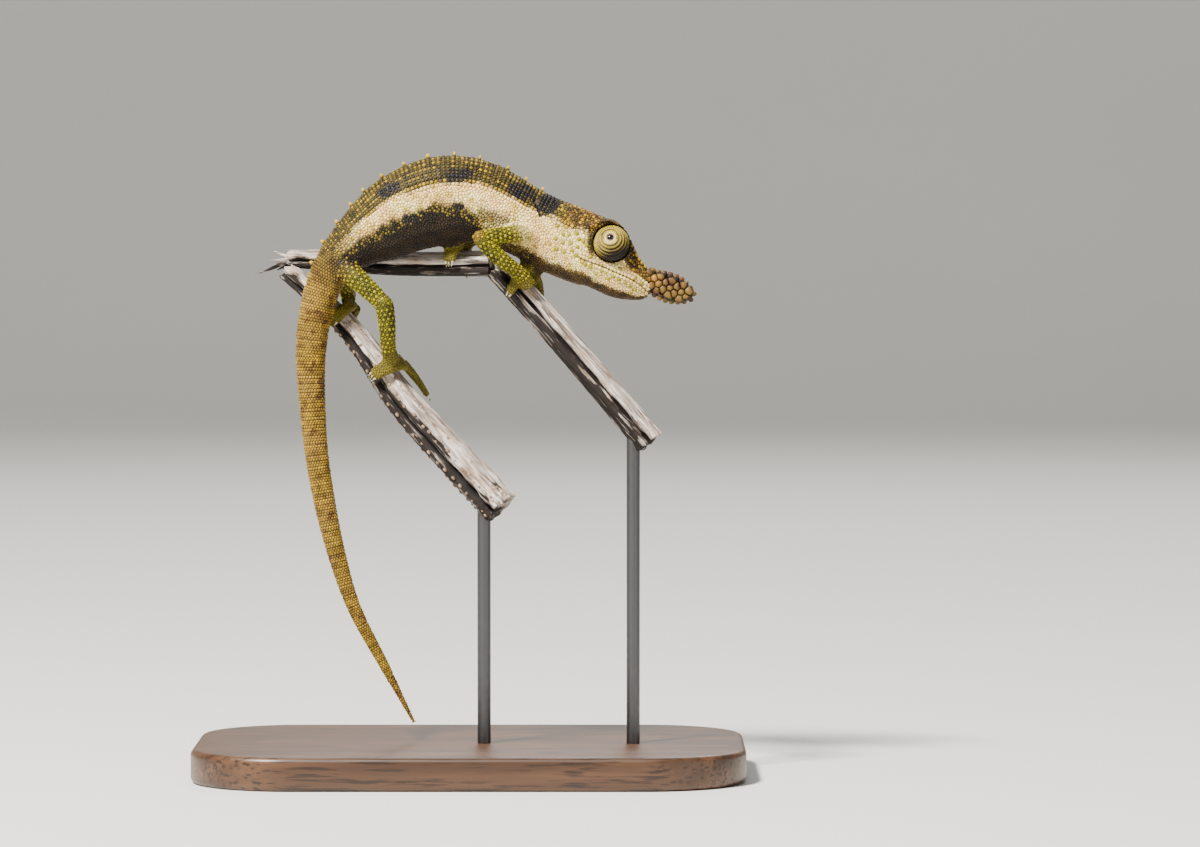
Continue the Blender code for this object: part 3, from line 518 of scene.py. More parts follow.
def enter(point, normal, forward, size, *look):
    """Writes one scale in the book."""
    cells.setdefault(cell_of(point), []).append((*point, size))
    book.append(entry_of(point, normal, forward, size, *look))


def face_normal(face):
    """The smooth normal at a face of the skin."""
    total = skin_normals[face_corners[face]].sum(axis=0)
    return total / np.linalg.norm(total)


# %% [markdown]
# ## Rings on the tail and rows on the back
# The tail is ringed like a stack of fine washers, and each ring is a row of small square scales. On the
# back the scales stand in long rows instead, and every second row carries raised yellow tubercles. Both
# are found in the same way: rays go out from the centre line, and a scale is set where each one meets the
# skin.

# %% Send rays from the body's line to the skin
row_at = lambda arc: int(np.searchsorted(arcs, arc))
arc_of = lambda place: float(np.interp(place, places, arcs))


def girth_of(row):
    """The way round the body at a row."""
    return 2 * math.pi * math.sqrt((body[row, 2]**2 + body[row, 3]**2) / 2)


def ring_of_scales(row, count, shift, size, shape, last_turn=1.0, bright=None):
    """One ring of scales round the trunk, from the middle of the back as far as the last turn."""
    centre, forward, up = centres[row], forwards[row], ups[row]
    high, wide = body[row, 2], body[row, 3]
    for k in range(count):
        angle = 2 * math.pi * (k + shift) / count
        turn = abs((angle / math.pi + 1) % 2 - 1)
        if turn > last_turn:
            continue
        out = math.cos(angle) * high * up + math.sin(angle) * wide * np.array((0, 1, 0))
        reach = np.linalg.norm(out)
        hit, _, face, far = skin_tree.ray_cast(Vector(centre), Vector(out), reach * 1.35)
        if hit is None or far < reach * 0.8 or skin_part[face_corners[face][0]] != 0:
            continue
        if crowded(hit, 0.2, 0.75):
            continue
        lit = bright(k, turn) if bright else 0.0
        enter(hit, face_normal(face), forward, size, shape, lit)


# The crest comes first: one rounded orange cone about every two millimetres along the middle of the back
CREST_START, CREST_END, CREST_STEP = 7.7, 15.9, 2.25
for arc in np.arange(arc_of(CREST_START), arc_of(CREST_END), CREST_STEP):
    row = row_at(arc)
    top = centres[row] + ups[row] * (body[row, 2] - SCALE_DEPTH)
    enter(top, ups[row], forwards[row], 0.62, (1.0, 0.9, 0.92), 1.6, "knob")
TAIL_PITCH = 0.33
TAIL_SCALE = 0.36
TAIL_END = 8.15
arc = 0.5
ring = 0
while arc < arc_of(TAIL_END):
    row = min(row_at(arc), len(places) - 1)
    count = max(7, round(girth_of(row) / TAIL_SCALE))
    size = girth_of(row) / count
    swell = 0.34 + 0.06 * (ring % 5 == 0)
    ring_of_scales(row, count, 0.5 * (ring % 2), size, (0.92 * TAIL_PITCH / size, 0.98, swell))
    arc += TAIL_PITCH * (0.75 + 0.25 * min(1.0, body[row, 2] / 1.2))
    ring += 1
print(f"{ring} rings on the tail, {len(book)} scales")

# %% Long rows on the back
BACK_ROWS = 58
BACK_PITCH = 0.43
arc = arc_of(TAIL_END) + 0.1
ring = 0


def back_tubercle(k, turn):
    """Every second row has yellow tubercles, set closer together towards the edge of the band."""
    return (k % 2 == 0) * (random.random() < 0.5 + 0.6 * turn) * (0.2 + 0.55 * random.random())


while arc < arc_of(NECK_END):
    row = row_at(arc)
    size = girth_of(row) / BACK_ROWS
    shape = (0.95 * BACK_PITCH / size, 0.94, 0.36)
    ring_of_scales(row, BACK_ROWS, 0.0, size, shape, BAND_EDGE + 0.03, back_tubercle)
    arc += BACK_PITCH
    ring += 1
print(f"{ring} rows across the back, {len(book)} scales so far")

# %% [markdown]
# ## Tubercles on the legs
# The legs carry round, bright tubercles that nearly touch, with dark skin between them that also gets
# painted shade. They stand in staggered rings about the bone, and they get smaller towards the wrist.

# %% Rings of tubercles on each leg
LEG_PITCH = 0.55
LEG_END = 0.80
LEG_COUNT = 12
for number, limb in enumerate(LIMBS, start=1):
    line, share = walk(LIMB_LINES[limb], LEG_PITCH)
    for k in range(1, len(line) - 1):
        if share[k] > LEG_END:
            continue
        forward = line[k + 1] - line[k - 1]
        forward /= np.linalg.norm(forward)
        side = np.cross(forward, (0.2, 1.0, 0.1))
        side /= np.linalg.norm(side)
        across = np.cross(forward, side)
        for j in range(LEG_COUNT):
            angle = 2 * math.pi * (j + 0.5 * (k % 2)) / LEG_COUNT
            out = math.cos(angle) * side + math.sin(angle) * across
            hit, _, face, far = skin_tree.ray_cast(Vector(line[k]), Vector(out), 2.2)
            if hit is None or far < 0.4 or skin_part[face_corners[face][0]] != number:
                continue
            size = (0.38 + 0.10 * random.random()) * (1 - 0.28 * share[k])
            lit = 0.2 + 0.8 * random.random()
            if not crowded(hit, size, 0.8):
                enter(hit, face_normal(face), forward, size, (1.0, 0.95, 0.40), lit, "boss", number)
print(f"{len(book)} scales with the legs")

# %% [markdown]
# ## Shields on the head
# The head has the largest scales: square shields along both lips, a raised row on the edge of the crown
# and over the eye, and a short crest of knobs from the brow down to the horn. Each row follows a line on
# the side view.

# %% Rows of shields along lines on the head
def row_on_head(line, size, shape, bright, from_side=False):
    """Sets a row of scales on the skin nearest to a line of x, y and z, or straight in from the side."""
    spots, share = walk(line, size * shape[0] * 0.98)
    ahead = np.array(line[-1]) - np.array(line[0])
    ahead[1] = 0
    ahead /= np.linalg.norm(ahead)
    for spot, t in zip(spots, share):
        for side in (-1, 1):
            outside = Vector((spot[0], side * spot[1], spot[2]))
            if from_side:
                hit, _, face, _ = skin_tree.ray_cast(outside, Vector((0, -side, 0)))
            else:
                hit, _, face, _ = skin_tree.find_nearest(outside)
            if hit is not None and not crowded(hit, size, 0.7):
                enter(hit, face_normal(face), ahead, size, shape, bright(t), "boss")


# How far above the line of the mouth each row lies, then its scales' size, length, width and brightness
LIP_ROWS = (
    (0.25, 0.44, 1.05, 0.86, 0.1), (-0.25, 0.42, 1.1, 0.84, 0.2),
    (0.68, 0.42, 1.0, 0.95, 0.15), (-0.68, 0.42, 1.0, 0.95, 0.3),
)
lip = lambda rise: [(x + 0.33 * rise, 5.0, z + rise) for x, z in MOUTH_LINE[1:]]
CROWN_EDGE = (
    (8.2, 2.3, 68.0), (9.7, 2.6, 67.3), (10.7, 2.8, 66.8),
    (12.0, 2.9, 66.1), (13.4, 2.9, 65.75), (14.6, 2.5, 66.0),
)
SNOUT_CREST = ((18.9, 1.2, 64.6), (19.4, 1.1, 63.3), (20.1, 0.9, 62.1), (20.9, 0.65, 61.2), (21.5, 0.4, 60.7))
NAPE_BEADS = ((7.85, 2.0, 69.9), (8.25, 2.2, 69.0), (8.6, 2.4, 68.2), (9.4, 2.4, 67.6))
# Single yellow-green scales on the cheek and the jaw, seen from the side
CHEEK_SPOTS = (
    (10.5, 65.9), (11.6, 65.8), (12.3, 65.9), (11.2, 64.9), (11.9, 64.9), (12.8, 65.0),
    (11.2, 63.9), (12.1, 63.85), (13.1, 64.3), (13.6, 64.1), (14.0, 63.6), (12.3, 63.0),
    (12.8, 62.4), (12.9, 63.4), (10.3, 64.4), (10.4, 63.2), (11.3, 62.8), (14.4, 62.2),
    (13.8, 61.3), (14.5, 61.0), (15.8, 60.5), (16.3, 60.3), (17.2, 59.85), (17.9, 59.55),
    (18.6, 59.1), (19.2, 58.7), (19.8, 58.3), (15.1, 60.2), (16.6, 59.6), (18.0, 60.75),
    (19.9, 59.75), (20.6, 59.1),
)
for x, z in CHEEK_SPOTS:
    for side in (-1, 1):
        hit, _, face, _ = skin_tree.ray_cast(Vector((x, 6 * side, z)), Vector((0, -side, 0)))
        enter(hit, face_normal(face), (1, 0, 0.1), 0.50 if x < 15 else 0.44, (1.0, 1.0, 0.30), 1.3, "boss")
for rise, size, long, wide, bright in LIP_ROWS:
    row_on_head(lip(rise), size, (long, wide, 0.22), lambda t: bright, from_side=True)
row_on_head(SNOUT_CREST, 0.62, (1.0, 0.95, 0.5), lambda t: 0.3 + 0.6 * (t > 0.45))
row_on_head(CROWN_EDGE, 0.42, (1.0, 0.9, 0.32), lambda t: 0.3)
row_on_head(NAPE_BEADS, 0.36, (1.0, 1.0, 0.5), lambda t: 1.0)
print(f"{len(book)} scales with the head's rows")

# %% [markdown]
# ## Darts for the rest
# Everywhere else the scales are granules of uneven size, as pebbles lie on a beach. Thousands of darts
# are thrown at the skin, each with the size that its place asks for. A dart that lands too close to a
# scale is dropped, and two more rounds with smaller sizes fill what is left.

# %% Throw the darts
def throw(count):
    """Random points spread evenly over the skin, with the face that each one lies on."""
    corners = skin_points[face_corners]
    edges = corners[:, 1:] - corners[:, :1]
    areas = np.linalg.norm(np.cross(edges[:, 0], edges[:, 1]), axis=1)
    faces = draw.choice(len(areas), size=count, p=areas / areas.sum())
    a, b = draw.random((2, count))
    q = skin_points[np.array([skin_faces[f][:4] for f in faces])]
    low = q[:, 0] * (1 - a)[:, None] + q[:, 1] * a[:, None]
    high = q[:, 3] * (1 - a)[:, None] + q[:, 2] * a[:, None]
    return low * (1 - b)[:, None] + high * b[:, None], faces


def granule(part, place, turn, lap):
    """Size, shape, brightness and kind of the scale that belongs at a place."""
    if part:
        return 0.25, (1.0, 1.0, 0.32), 0.0, "bead"
    if place < TAIL_END:
        return 0.28, (1.0, 1.0, 0.3), 0.0, "bead"
    if place < NECK_END + 0.3:
        size = 0.33 if turn > BAND_EDGE else 0.3
        edge = abs(turn - smooth_of(STRIPE_EDGE, place)) < 0.1
        return size, (1.05, 0.95, 0.3), edge * (random.random() < 0.5) * random.uniform(0.2, 0.6), "bead"
    if place > 21.0 and turn < 0.45:
        return 0.40, (1.0, 1.0, 0.36), 0.2, "boss"
    if turn < BAND_EDGE:
        size, kind = (0.46, "boss") if lap == 0 else (0.3, "bead")
        return size, (1.1, 1.0, 0.26), 0.6 * (random.random() < 0.35), kind
    if lap == 0 and turn < 0.62:
        return 0.44, (1.0, 1.0, 0.28), 0.45 * (random.random() < 0.4), "boss"
    return 0.27, (1.0, 1.0, 0.28), 0.0, "bead"


# No scale grows this near to the middle of the eye, and only small ones do on the brow round it
SOCKET_RADIUS, BROW_RADIUS = 2.34, 2.85
# Each lap has its number of darts, the size and the packing
LAPS = ((60000, 1.0, 1.0), (170000, 1.0, 0.86), (120000, 0.72, 0.84))
for lap, (count, shrink, packing) in enumerate(LAPS):
    spots, faces = throw(count)
    rows, turns = body_coords(spots)
    near_mouth = distance_to_line(spots, MOUTH_LINE) < 0.16
    near_fold = distance_to_line(spots, NAPE_FOLD) < 0.12
    mirrored = np.stack([spots[:, 0], np.abs(spots[:, 1]), spots[:, 2]], axis=1)
    from_eye = np.linalg.norm(mirrored - EYE, axis=1)
    blocked = near_mouth | near_fold | (from_eye < SOCKET_RADIUS)
    for spot, face, row, turn, stop, eye_gap in zip(spots, faces, rows, turns, blocked, from_eye):
        if stop:
            continue
        part = int(skin_part[face_corners[face][0]])
        size, shape, bright, kind = granule(part, places[row], turn, lap)
        size *= shrink
        if eye_gap < BROW_RADIUS:
            size, shape, bright, kind = 0.27 * shrink, (1.0, 1.0, 0.26), 0.35 * random.random(), "bead"
        if lap == 0 and (part or places[row] < NECK_END):
            continue
        if not crowded(spot, size, packing):
            enter(spot, face_normal(face), forwards[row], size, shape, bright, kind, part)
    print(f"After lap {lap + 1}: {len(book)} scales")

# %% [markdown]
# ## Stamping the scales
# Real scales aren't round beads: each one grows until it meets its neighbours, so they fit like cobbles.
# So before the stamping every scale looks round in its own plane and notes how far it may reach in each
# of 24 directions. Between two scales the larger one takes the larger share.

# %% How far each scale reaches before it meets a neighbour
DIRECTIONS = 24
NEIGHBOURS = 16
GROOVE = 0.95
# Two normals that agree less than this belong to different faces of a thin part
OTHER_FACE = 0.3


def columns(entries):
    """One array for each column, with a forward and a side direction in each scale's own plane."""
    point, normal, forward, size, part, shape, bright, kind = (list(column) for column in zip(*entries))
    normal, forward = np.array(normal, float), np.array(forward, float)
    normal /= np.linalg.norm(normal, axis=1)[:, None]
    forward -= normal * (forward * normal).sum(axis=1)[:, None]
    forward /= np.linalg.norm(forward, axis=1)[:, None] + 1e-9
    return {"point": np.array(point, float), "normal": normal, "forward": forward,
            "side": np.cross(normal, forward), "size": np.array(size, float), "part": np.array(part),
            "shape": np.array(shape, float), "bright": np.array(bright, float), "kind": np.array(kind)}


def reaches(scales):
    """For every scale, its radius in each direction, half way to the neighbours and never too long."""
    points, size = scales["point"], scales["size"]
    tree = KDTree(len(points))
    for number, point in enumerate(points):
        tree.insert(point, number)
    tree.balance()
    near = np.array([[found[1] for found in tree.find_n(point, NEIGHBOURS + 1)][1:] for point in points])
    away = points[near] - points[:, None]
    ahead = (away * scales["forward"][:, None]).sum(axis=2)
    beside = (away * scales["side"][:, None]).sum(axis=2)
    share = size[:, None] / (size[:, None] + size[near])
    limit = np.hypot(ahead, beside) * share
    # A scale on the other face of a thin part is no neighbour
    alike = (scales["normal"][near] * scales["normal"][:, None]).sum(axis=2)
    limit[(np.hypot(ahead, beside) < 0.02) | (alike < OTHER_FACE)] = FAR
    bearing = np.arctan2(beside, ahead)
    turns = 2 * math.pi * np.arange(DIRECTIONS) / DIRECTIONS
    long_way = scales["shape"][:, :1] * np.cos(turns)
    wide_way = scales["shape"][:, 1:2] * np.sin(turns)
    result = 0.64 * size[:, None] * np.hypot(long_way, wide_way)
    for m in range(near.shape[1]):
        facing = np.cos(turns[None] - bearing[:, m:m + 1])
        wall = np.where(facing > 0.08, limit[:, m:m + 1] / np.maximum(facing, 0.08), FAR)
        result = np.minimum(result, wall)
    # Where the skin turns over an edge, a scale stays small and doesn't stand out over it
    at_edge = ((alike < OTHER_FACE) & (np.linalg.norm(away, axis=2) < 1.1 * size[:, None])).any(axis=1)
    result[at_edge & (scales["kind"] != "plump")] *= 0.72
    return np.maximum(result * GROOVE, 0.16 * size[:, None])


# %% Templates and the stamp
# Sides, then rings as (share of the reach, height). A point at height 1 closes the top, a flat face the bottom
TEMPLATES = {
    "bead": (8, ((1.0, -0.3), (0.95, 0.30), (0.66, 0.82))),
    "boss": (12, ((1.0, -0.3), (0.96, 0.25), (0.80, 0.65), (0.45, 0.93))),
    "plump": (24, ((0.98, -0.5), (1.0, 0.0), (0.97, 0.30), (0.86, 0.60), (0.66, 0.83), (0.36, 0.96))),
    "knob": (12, ((1.0, -0.5), (0.90, 0.15), (0.78, 0.48), (0.58, 0.76), (0.30, 0.94))),
}


def stamp(name, scales, reach):
    """One mesh of many scales, with the scale that owns each corner and how high the corner stands."""
    corners_out, faces_out, owner, crown = [], [], [], []
    first = 0
    for kind, (sides, rings) in TEMPLATES.items():
        mine = np.flatnonzero(scales["kind"] == kind)
        if not len(mine):
            continue
        step = DIRECTIONS // sides
        turns = 2 * math.pi * np.arange(sides) / sides
        outline = reach[mine][:, ::step]
        ahead, side, normal = (scales[key][mine][:, None] for key in ("forward", "side", "normal"))
        edge = outline[:, :, None] * (np.cos(turns)[:, None] * ahead + np.sin(turns)[:, None] * side)
        tall = (scales["size"] * scales["shape"][:, 2])[mine][:, None, None]
        middle = scales["point"][mine][:, None]
        layers = [middle + share * edge + height * tall * normal for share, height in rings]
        layers.append(middle + tall * normal)
        corners = np.concatenate(layers, axis=1)
        each = corners.shape[1]
        ring = np.arange(sides)
        after = (ring + 1) % sides
        band = np.stack([ring, after, sides + after, sides + ring], axis=1)
        faces = [k * sides + band for k in range(len(rings) - 1)]
        last = (len(rings) - 1) * sides
        lid = np.stack([last + ring, last + after, np.full(sides, each - 1)], axis=1)
        bottom = ring[::-1][None]
        offsets = first + each * np.arange(len(mine))[:, None, None]
        for group in (*faces, lid, bottom):
            faces_out += (group[None] + offsets).reshape(-1, group.shape[1]).tolist()
        corners_out.append(corners.reshape(-1, 3))
        owner.append(np.repeat(mine, each))
        heights = np.concatenate([np.full(sides, height) for _, height in rings] + [[1.0]])
        crown.append(np.tile(np.clip(heights, 0, 1), len(mine)))
        first += each * len(mine)
    mesh = bpy.data.meshes.new(name)
    mesh.from_pydata(np.concatenate(corners_out).tolist(), [], faces_out)
    return in_scene(name, mesh), np.concatenate(owner), np.concatenate(crown)


# %% Masks become attributes that a material can read
PAINT_SETS = (
    ("paint_a", ("cream", "back", "tail")),
    ("paint_b", ("belly", "blotch_and_crease_shade", "snout")),
    ("paint_c", ("crown", "leg", "bright")),
)


def write_colour(mesh, name, columns):
    """Stores three numbers for each corner as one colour attribute."""
    attribute = mesh.attributes.new(name, "FLOAT_COLOR", "POINT")
    rows = np.ones((len(mesh.vertices), 4), np.float32)
    for k, column in enumerate(columns):
        rows[:, k] = column
    attribute.data.foreach_set("color", rows.ravel())


def write_paint(piece, masks, tint, height, reach):
    """Writes the masks, the scale's own tint, its height and how far down a leg it is."""
    for name, members in PAINT_SETS:
        write_colour(piece.data, name, [masks[m] for m in members])
    write_colour(piece.data, "paint_d", [tint, height, reach])


rows, turns = body_coords(skin_points)
skin_reach = leg_reach(skin_points, skin_part)
skin_masks = paint_masks(skin_points, skin_part, rows, turns, skin_reach)
skin_masks["bright"] = np.zeros(len(skin_points))
# The skin shows only between the scales, and its height of 0 gives it the painted shade of the grooves
write_paint(skin, skin_masks, 0.5, 0.0, skin_reach)


# %% [markdown]
# ## A place for each scale on the unwrapped skin
# When the colours are baked for other programs, each scale needs a spot of its own on a flat map. The
# skin is unrolled like paper from a pencil: along the body to the right, round it upwards, and each leg
# on a strip of its own above. Every scale is a tiny patch there at its root.

# %% Lay the scales out on the unrolled skin
PATCH = 0.0015


def unrolled(points, part, rows):
    """Where each root lies on the flat map."""
    offset = points - centres[rows]
    round_body = np.arctan2(offset[:, 1], np.einsum("ij,ij->i", offset, ups[rows])) / (2 * math.pi)
    flat = np.stack([0.02 + 0.96 * arcs[rows] / arcs[-1], 0.26 + 0.46 * round_body], axis=1)
    for number, limb in enumerate(LIMBS, start=1):
        mine = np.flatnonzero(part == number)
        if not len(mine):
            continue
        near, share = limb_coords(points[mine], limb)
        away = points[mine] - near
        around = np.arctan2(away[:, 1], away[:, 0] + away[:, 2]) / (2 * math.pi)
        flat[mine] = np.stack([0.02 + 0.96 * share, 0.50 + 0.12 * number - 0.06 + 0.1 * around], axis=1)
    return flat


def lay_out(piece, owner, roots):
    """Writes the map: each scale's own outline, shrunk to a patch at its root's place."""
    points = points_of(piece)
    middle = np.zeros((len(roots), 3))
    np.add.at(middle, owner, points)
    middle /= np.bincount(owner, minlength=len(roots))[:, None]
    away = points - middle[owner]
    spread = np.abs(away).max() + 1e-9
    local = (away[:, ::2] + 0.5 * away[:, 1:2]) / (1.5 * spread)
    flat = roots[owner] + PATCH * local
    layer = piece.data.uv_layers.new(name="OFBake")
    corner = np.empty(len(piece.data.loops), np.int32)
    piece.data.loops.foreach_get("vertex_index", corner)
    layer.data.foreach_set("uv", flat[corner].astype(np.float32).ravel())


# %% Stamp each coat piece
in_fold = distance_to_line(np.array([entry[0] for entry in book]), NAPE_FOLD) < 0.13
book = [entry for entry, bare in zip(book, in_fold) if not bare]
scales = columns(book)
reach = reaches(scales)
root_parts = scales["part"]
root_rows, root_turns = body_coords(scales["point"])
root_reach = leg_reach(scales["point"], root_parts)
root_masks = paint_masks(scales["point"], root_parts, root_rows, root_turns, root_reach)
root_masks["bright"] = scales["bright"]
root_tint = draw.random(len(book))
root_flat = unrolled(scales["point"], root_parts, root_rows)
root_place = places[root_rows]
trunk_regions = [root_place < 7.6, root_place >= NECK_END + 0.1, root_turns < BAND_EDGE + 0.02]
trunk_regions = [root_parts > 2, root_parts > 0, *trunk_regions]
region = np.select(trunk_regions, ["hind_legs", "fore_legs", "tail", "head", "back"], "flank")
coats = {}
for name in ("tail", "back", "flank", "head", "fore_legs", "hind_legs"):
    mine = np.flatnonzero(region == name)
    chosen = {key: value[mine] for key, value in scales.items()}
    coat, owner, height = stamp(f"scales_{name}", chosen, reach[mine])
    lay_out(coat, owner, root_flat[mine])
    masks = {key: value[mine][owner] for key, value in root_masks.items()}
    write_paint(coat, masks, root_tint[mine][owner], height, root_reach[mine][owner])
    coats[name] = coat
    print(f"scales_{name}: {len(mine)} scales")

# %% [markdown]
# ## Helpers for materials
# A material is a small network. These helpers keep each step to one readable line.

# %% Nodes by name
def fill(tree, socket, value):
    """Links an input to another node's output, or sets it to a plain value."""
    if isinstance(value, bpy.types.NodeSocket):
        tree.links.new(value, socket)
    else:
        socket.default_value = (*value, 1.0) if socket.type == "RGBA" else value


def add_node(tree, kind, inputs=(), **settings):
    """Adds a node, sets its options, and fills its inputs."""
    node = tree.nodes.new(kind)
    for name, value in settings.items():
        setattr(node, name, value)
    for name, value in dict(inputs).items():
        fill(tree, node.inputs[name], value)
    return node


def blend(tree, amount, a, b):
    """Mixes two colours, and gives the result."""
    return add_node(tree, "ShaderNodeMix", {0: amount, 6: a, 7: b}, data_type="RGBA").outputs[2]


def calculate(tree, operation, a, b=0.0, clamp=False):
    return add_node(tree, "ShaderNodeMath", {0: a, 1: b}, operation=operation, use_clamp=clamp).outputs[0]


def product(tree, a, b, clamp=False):
    return calculate(tree, "MULTIPLY", a, b, clamp)


def remainder(tree, share):
    """What a share leaves of one."""
    return calculate(tree, "SUBTRACT", 1.0, share)


def ramp(tree, value, low, high, to_low=0.0, to_high=1.0):
    """Runs from to_low to to_high while the value goes from low to high, and stays level outside."""
    settings = {0: value, 1: low, 2: high, 3: to_low, 4: to_high}
    return add_node(tree, "ShaderNodeMapRange", settings, clamp=True).outputs[0]


def channels(tree, source):
    """The three numbers of a colour or a place."""
    return add_node(tree, "ShaderNodeSeparateXYZ", {0: source}).outputs


def scaled(tree, color, share):
    """The colour made darker or lighter by a share."""
    return add_node(tree, "ShaderNodeVectorMath", {0: color, 3: share}, operation="SCALE").outputs[0]


def stretched(tree, place, share):
    """A place multiplied in each direction, so that a pattern on it grows long."""
    return add_node(tree, "ShaderNodeVectorMath", {0: place, 1: share}, operation="MULTIPLY").outputs[0]


def speckle(tree, scale, coordinate, detail=4.0):
    """Plain noise, for relief and for masks."""
    settings = {"Vector": coordinate, "Scale": scale, "Detail": detail}
    return add_node(tree, "ShaderNodeTexNoise", settings).outputs["Fac"]


def mottle(tree, scale, low, high, coordinate, detail=3.0):
    """Noise cut to a mask between two levels."""
    return ramp(tree, speckle(tree, scale, coordinate, detail), low, high)


def relief(tree, strength, depth, pattern):
    """Bumps the surface of the material by a pattern."""
    bump = add_node(tree, "ShaderNodeBump", {"Strength": strength, "Distance": depth, "Height": pattern})
    tree.links.new(bump.outputs["Normal"], tree.nodes["Principled BSDF"].inputs["Normal"])


def attribute(tree, name, output="Color"):
    """An attribute that was stored on the mesh."""
    return add_node(tree, "ShaderNodeAttribute", attribute_name=name).outputs[output]


def object_place(tree):
    """The place on the object, which patterns follow."""
    return add_node(tree, "ShaderNodeTexCoord").outputs["Object"]


def new_material(name):
    """A material and its tree."""
    material = bpy.data.materials.new(name)
    material.use_nodes = True
    return material, material.node_tree


def finish(tree, **values):
    """Fills the shader's own sockets, with a low line for each space in a socket's name."""
    for name, value in values.items():
        fill(tree, tree.nodes["Principled BSDF"].inputs[name.replace("_", " ")], value)


def linear(red, green, blue):
    """A screen colour from 0 to 255 as the light values that shaders use."""
    return tuple(((v / 255 + 0.055) / 1.055)**2.4 if v > 10 else v / 255 / 12.92 for v in (red, green, blue))


# %% [markdown]
# ## The chameleon's colours
# One group mixes the markings from the masks. It starts with the olive of the back and lays one colour
# over another, as a painter would: ochre on the tail, green on the legs, cream on the flank, brown below
# that is partly painted shade, slate in the blotches with painted shade in the creases, and last the
# yellow of the tubercles. Grooves get painted shade and tops a painted highlight.

# %% The shared group of markings
def make_markings_group():
    group = bpy.data.node_groups.new("chameleon_markings", "ShaderNodeTree")
    for name in ("Flank", "Lower", "Head", "Scale", "Position"):
        group.interface.new_socket(name=name, in_out="INPUT", socket_type="NodeSocketVector")
    group.interface.new_socket(name="Color", in_out="OUTPUT", socket_type="NodeSocketColor")
    group.interface.new_socket(name="Roughness", in_out="OUTPUT", socket_type="NodeSocketFloat")
    inputs = add_node(group, "NodeGroupInput").outputs
    cream, _, tail = channels(group, inputs["Flank"])
    belly, blotch_and_crease_shade, snout = channels(group, inputs["Lower"])
    crown, leg, bright = channels(group, inputs["Head"])
    tint, height, reach = channels(group, inputs["Scale"])
    mask = lambda scale, low, high: mottle(group, scale, low, high, inputs["Position"])
    mix = lambda amount, a, b: blend(group, amount, a, b)

    patchy, fine, broad = mask(900, 0.38, 0.62), mask(2600, 0.35, 0.65), mask(420, 0.42, 0.58)
    olive = mix(patchy, linear(86, 74, 38), linear(50, 43, 23))
    ochre = mix(patchy, linear(156, 128, 62), linear(110, 87, 42))
    ochre = mix(mask(260, 0.48, 0.66), ochre, linear(146, 118, 66))
    ochre = mix(mask(760, 0.56, 0.66), ochre, linear(92, 64, 36))
    green = mix(patchy, linear(102, 98, 30), linear(64, 61, 17))
    green = mix(ramp(group, reach, 0.62, 0.85), green, linear(104, 94, 38))
    ivory = mix(broad, linear(255, 234, 172), linear(240, 204, 148))
    ivory = mix(mask(1300, 0.54, 0.66), ivory, linear(208, 180, 90))
    # The dark brown below is partly the belly's own colour and partly painted shade, and so is the lighter
    # brown of the throat
    brown = mix(patchy, linear(42, 30, 15), linear(21, 15, 7))
    brown = mix(crown, brown, mix(patchy, linear(80, 62, 36), linear(52, 40, 23)))
    slate = mix(fine, linear(30, 27, 28), linear(16, 15, 17))
    rust = mix(patchy, linear(94, 72, 40), linear(54, 41, 24))
    rust = mix(mask(420, 0.50, 0.62), rust, linear(134, 98, 58))
    shade = mix(patchy, linear(80, 64, 36), linear(48, 38, 22))

    color = mix(tail, olive, ochre)
    color = mix(leg, color, green)
    color = mix(cream, color, ivory)
    color = mix(belly, color, brown)
    color = mix(product(group, crown, remainder(group, belly)), color, rust)
    color = mix(snout, color, shade)
    # Slate in the blotches, and painted shade in the creases
    color = mix(blotch_and_crease_shade, color, slate)
    yellow = mix(leg, linear(186, 154, 66), linear(150, 142, 44))
    yellow = mix(product(group, crown, tint), yellow, linear(174, 136, 66))
    yellow = mix(cream, yellow, linear(136, 132, 38))
    yellow = mix(belly, yellow, linear(146, 128, 58))
    lit = product(group, bright, ramp(group, height, 0.12, 0.75), True)
    lit = product(group, lit, remainder(group, product(group, blotch_and_crease_shade, 0.9)))
    color = mix(lit, color, yellow)
    # Painted shade in the grooves between scales, where the height is low, and a painted highlight on the tops
    groove = ramp(group, height, 0.0, 0.8, 0.42, 1.12)
    vary = ramp(group, tint, 0.0, 1.0, 0.78, 1.16)
    color = scaled(group, color, product(group, groove, vary))
    rich = add_node(group, "ShaderNodeHueSaturation", {"Saturation": 1.12, "Color": color}).outputs[0]
    rough = ramp(group, fine, 0.0, 1.0, 0.46, 0.64)
    add_node(group, "NodeGroupOutput", {"Color": rich, "Roughness": rough})
    return group


markings = make_markings_group()


# %% The material that the skin and its scales share
def skin_material(name, bump):
    material, tree = new_material(name)
    position = object_place(tree)
    group = add_node(tree, "ShaderNodeGroup", node_tree=markings)
    fill(tree, group.inputs["Position"], position)
    for socket, letter in zip(("Flank", "Lower", "Head", "Scale"), "abcd"):
        fill(tree, group.inputs[socket], attribute(tree, f"paint_{letter}"))
    relief(tree, bump, 0.00003, speckle(tree, 9000, position))
    colour, rough = group.outputs["Color"], group.outputs["Roughness"]
    finish(tree, Base_Color=colour, Roughness=rough, Specular_IOR_Level=0.25)
    return material


skin.data.materials.clear()
skin.data.materials.append(skin_material("chameleon_skin", 0.5))
settle(skin, "skin", FLESH, angle=180)
scale_material = skin_material("chameleon_scales", 0.25)
for name, coat in coats.items():
    coat.data.materials.append(scale_material)
    settle(coat, f"scales_{name}", angle=75)

# %% [markdown]
# ## Eyes like turrets
# A chameleon's eye is a ball that is almost all lid: a cone of ringed, granular skin with a small hole
# for the pupil. The lid is a profile spun round the line of sight. The eye itself is a small glossy ball
# inside it.

# %% Spin a profile round the line of sight
EYE_RADIUS = 2.02
LID_HOLE = 0.68
FOLD_PITCH = 12.5
# The lid goes this many degrees round from the line of sight
LID_END = 112


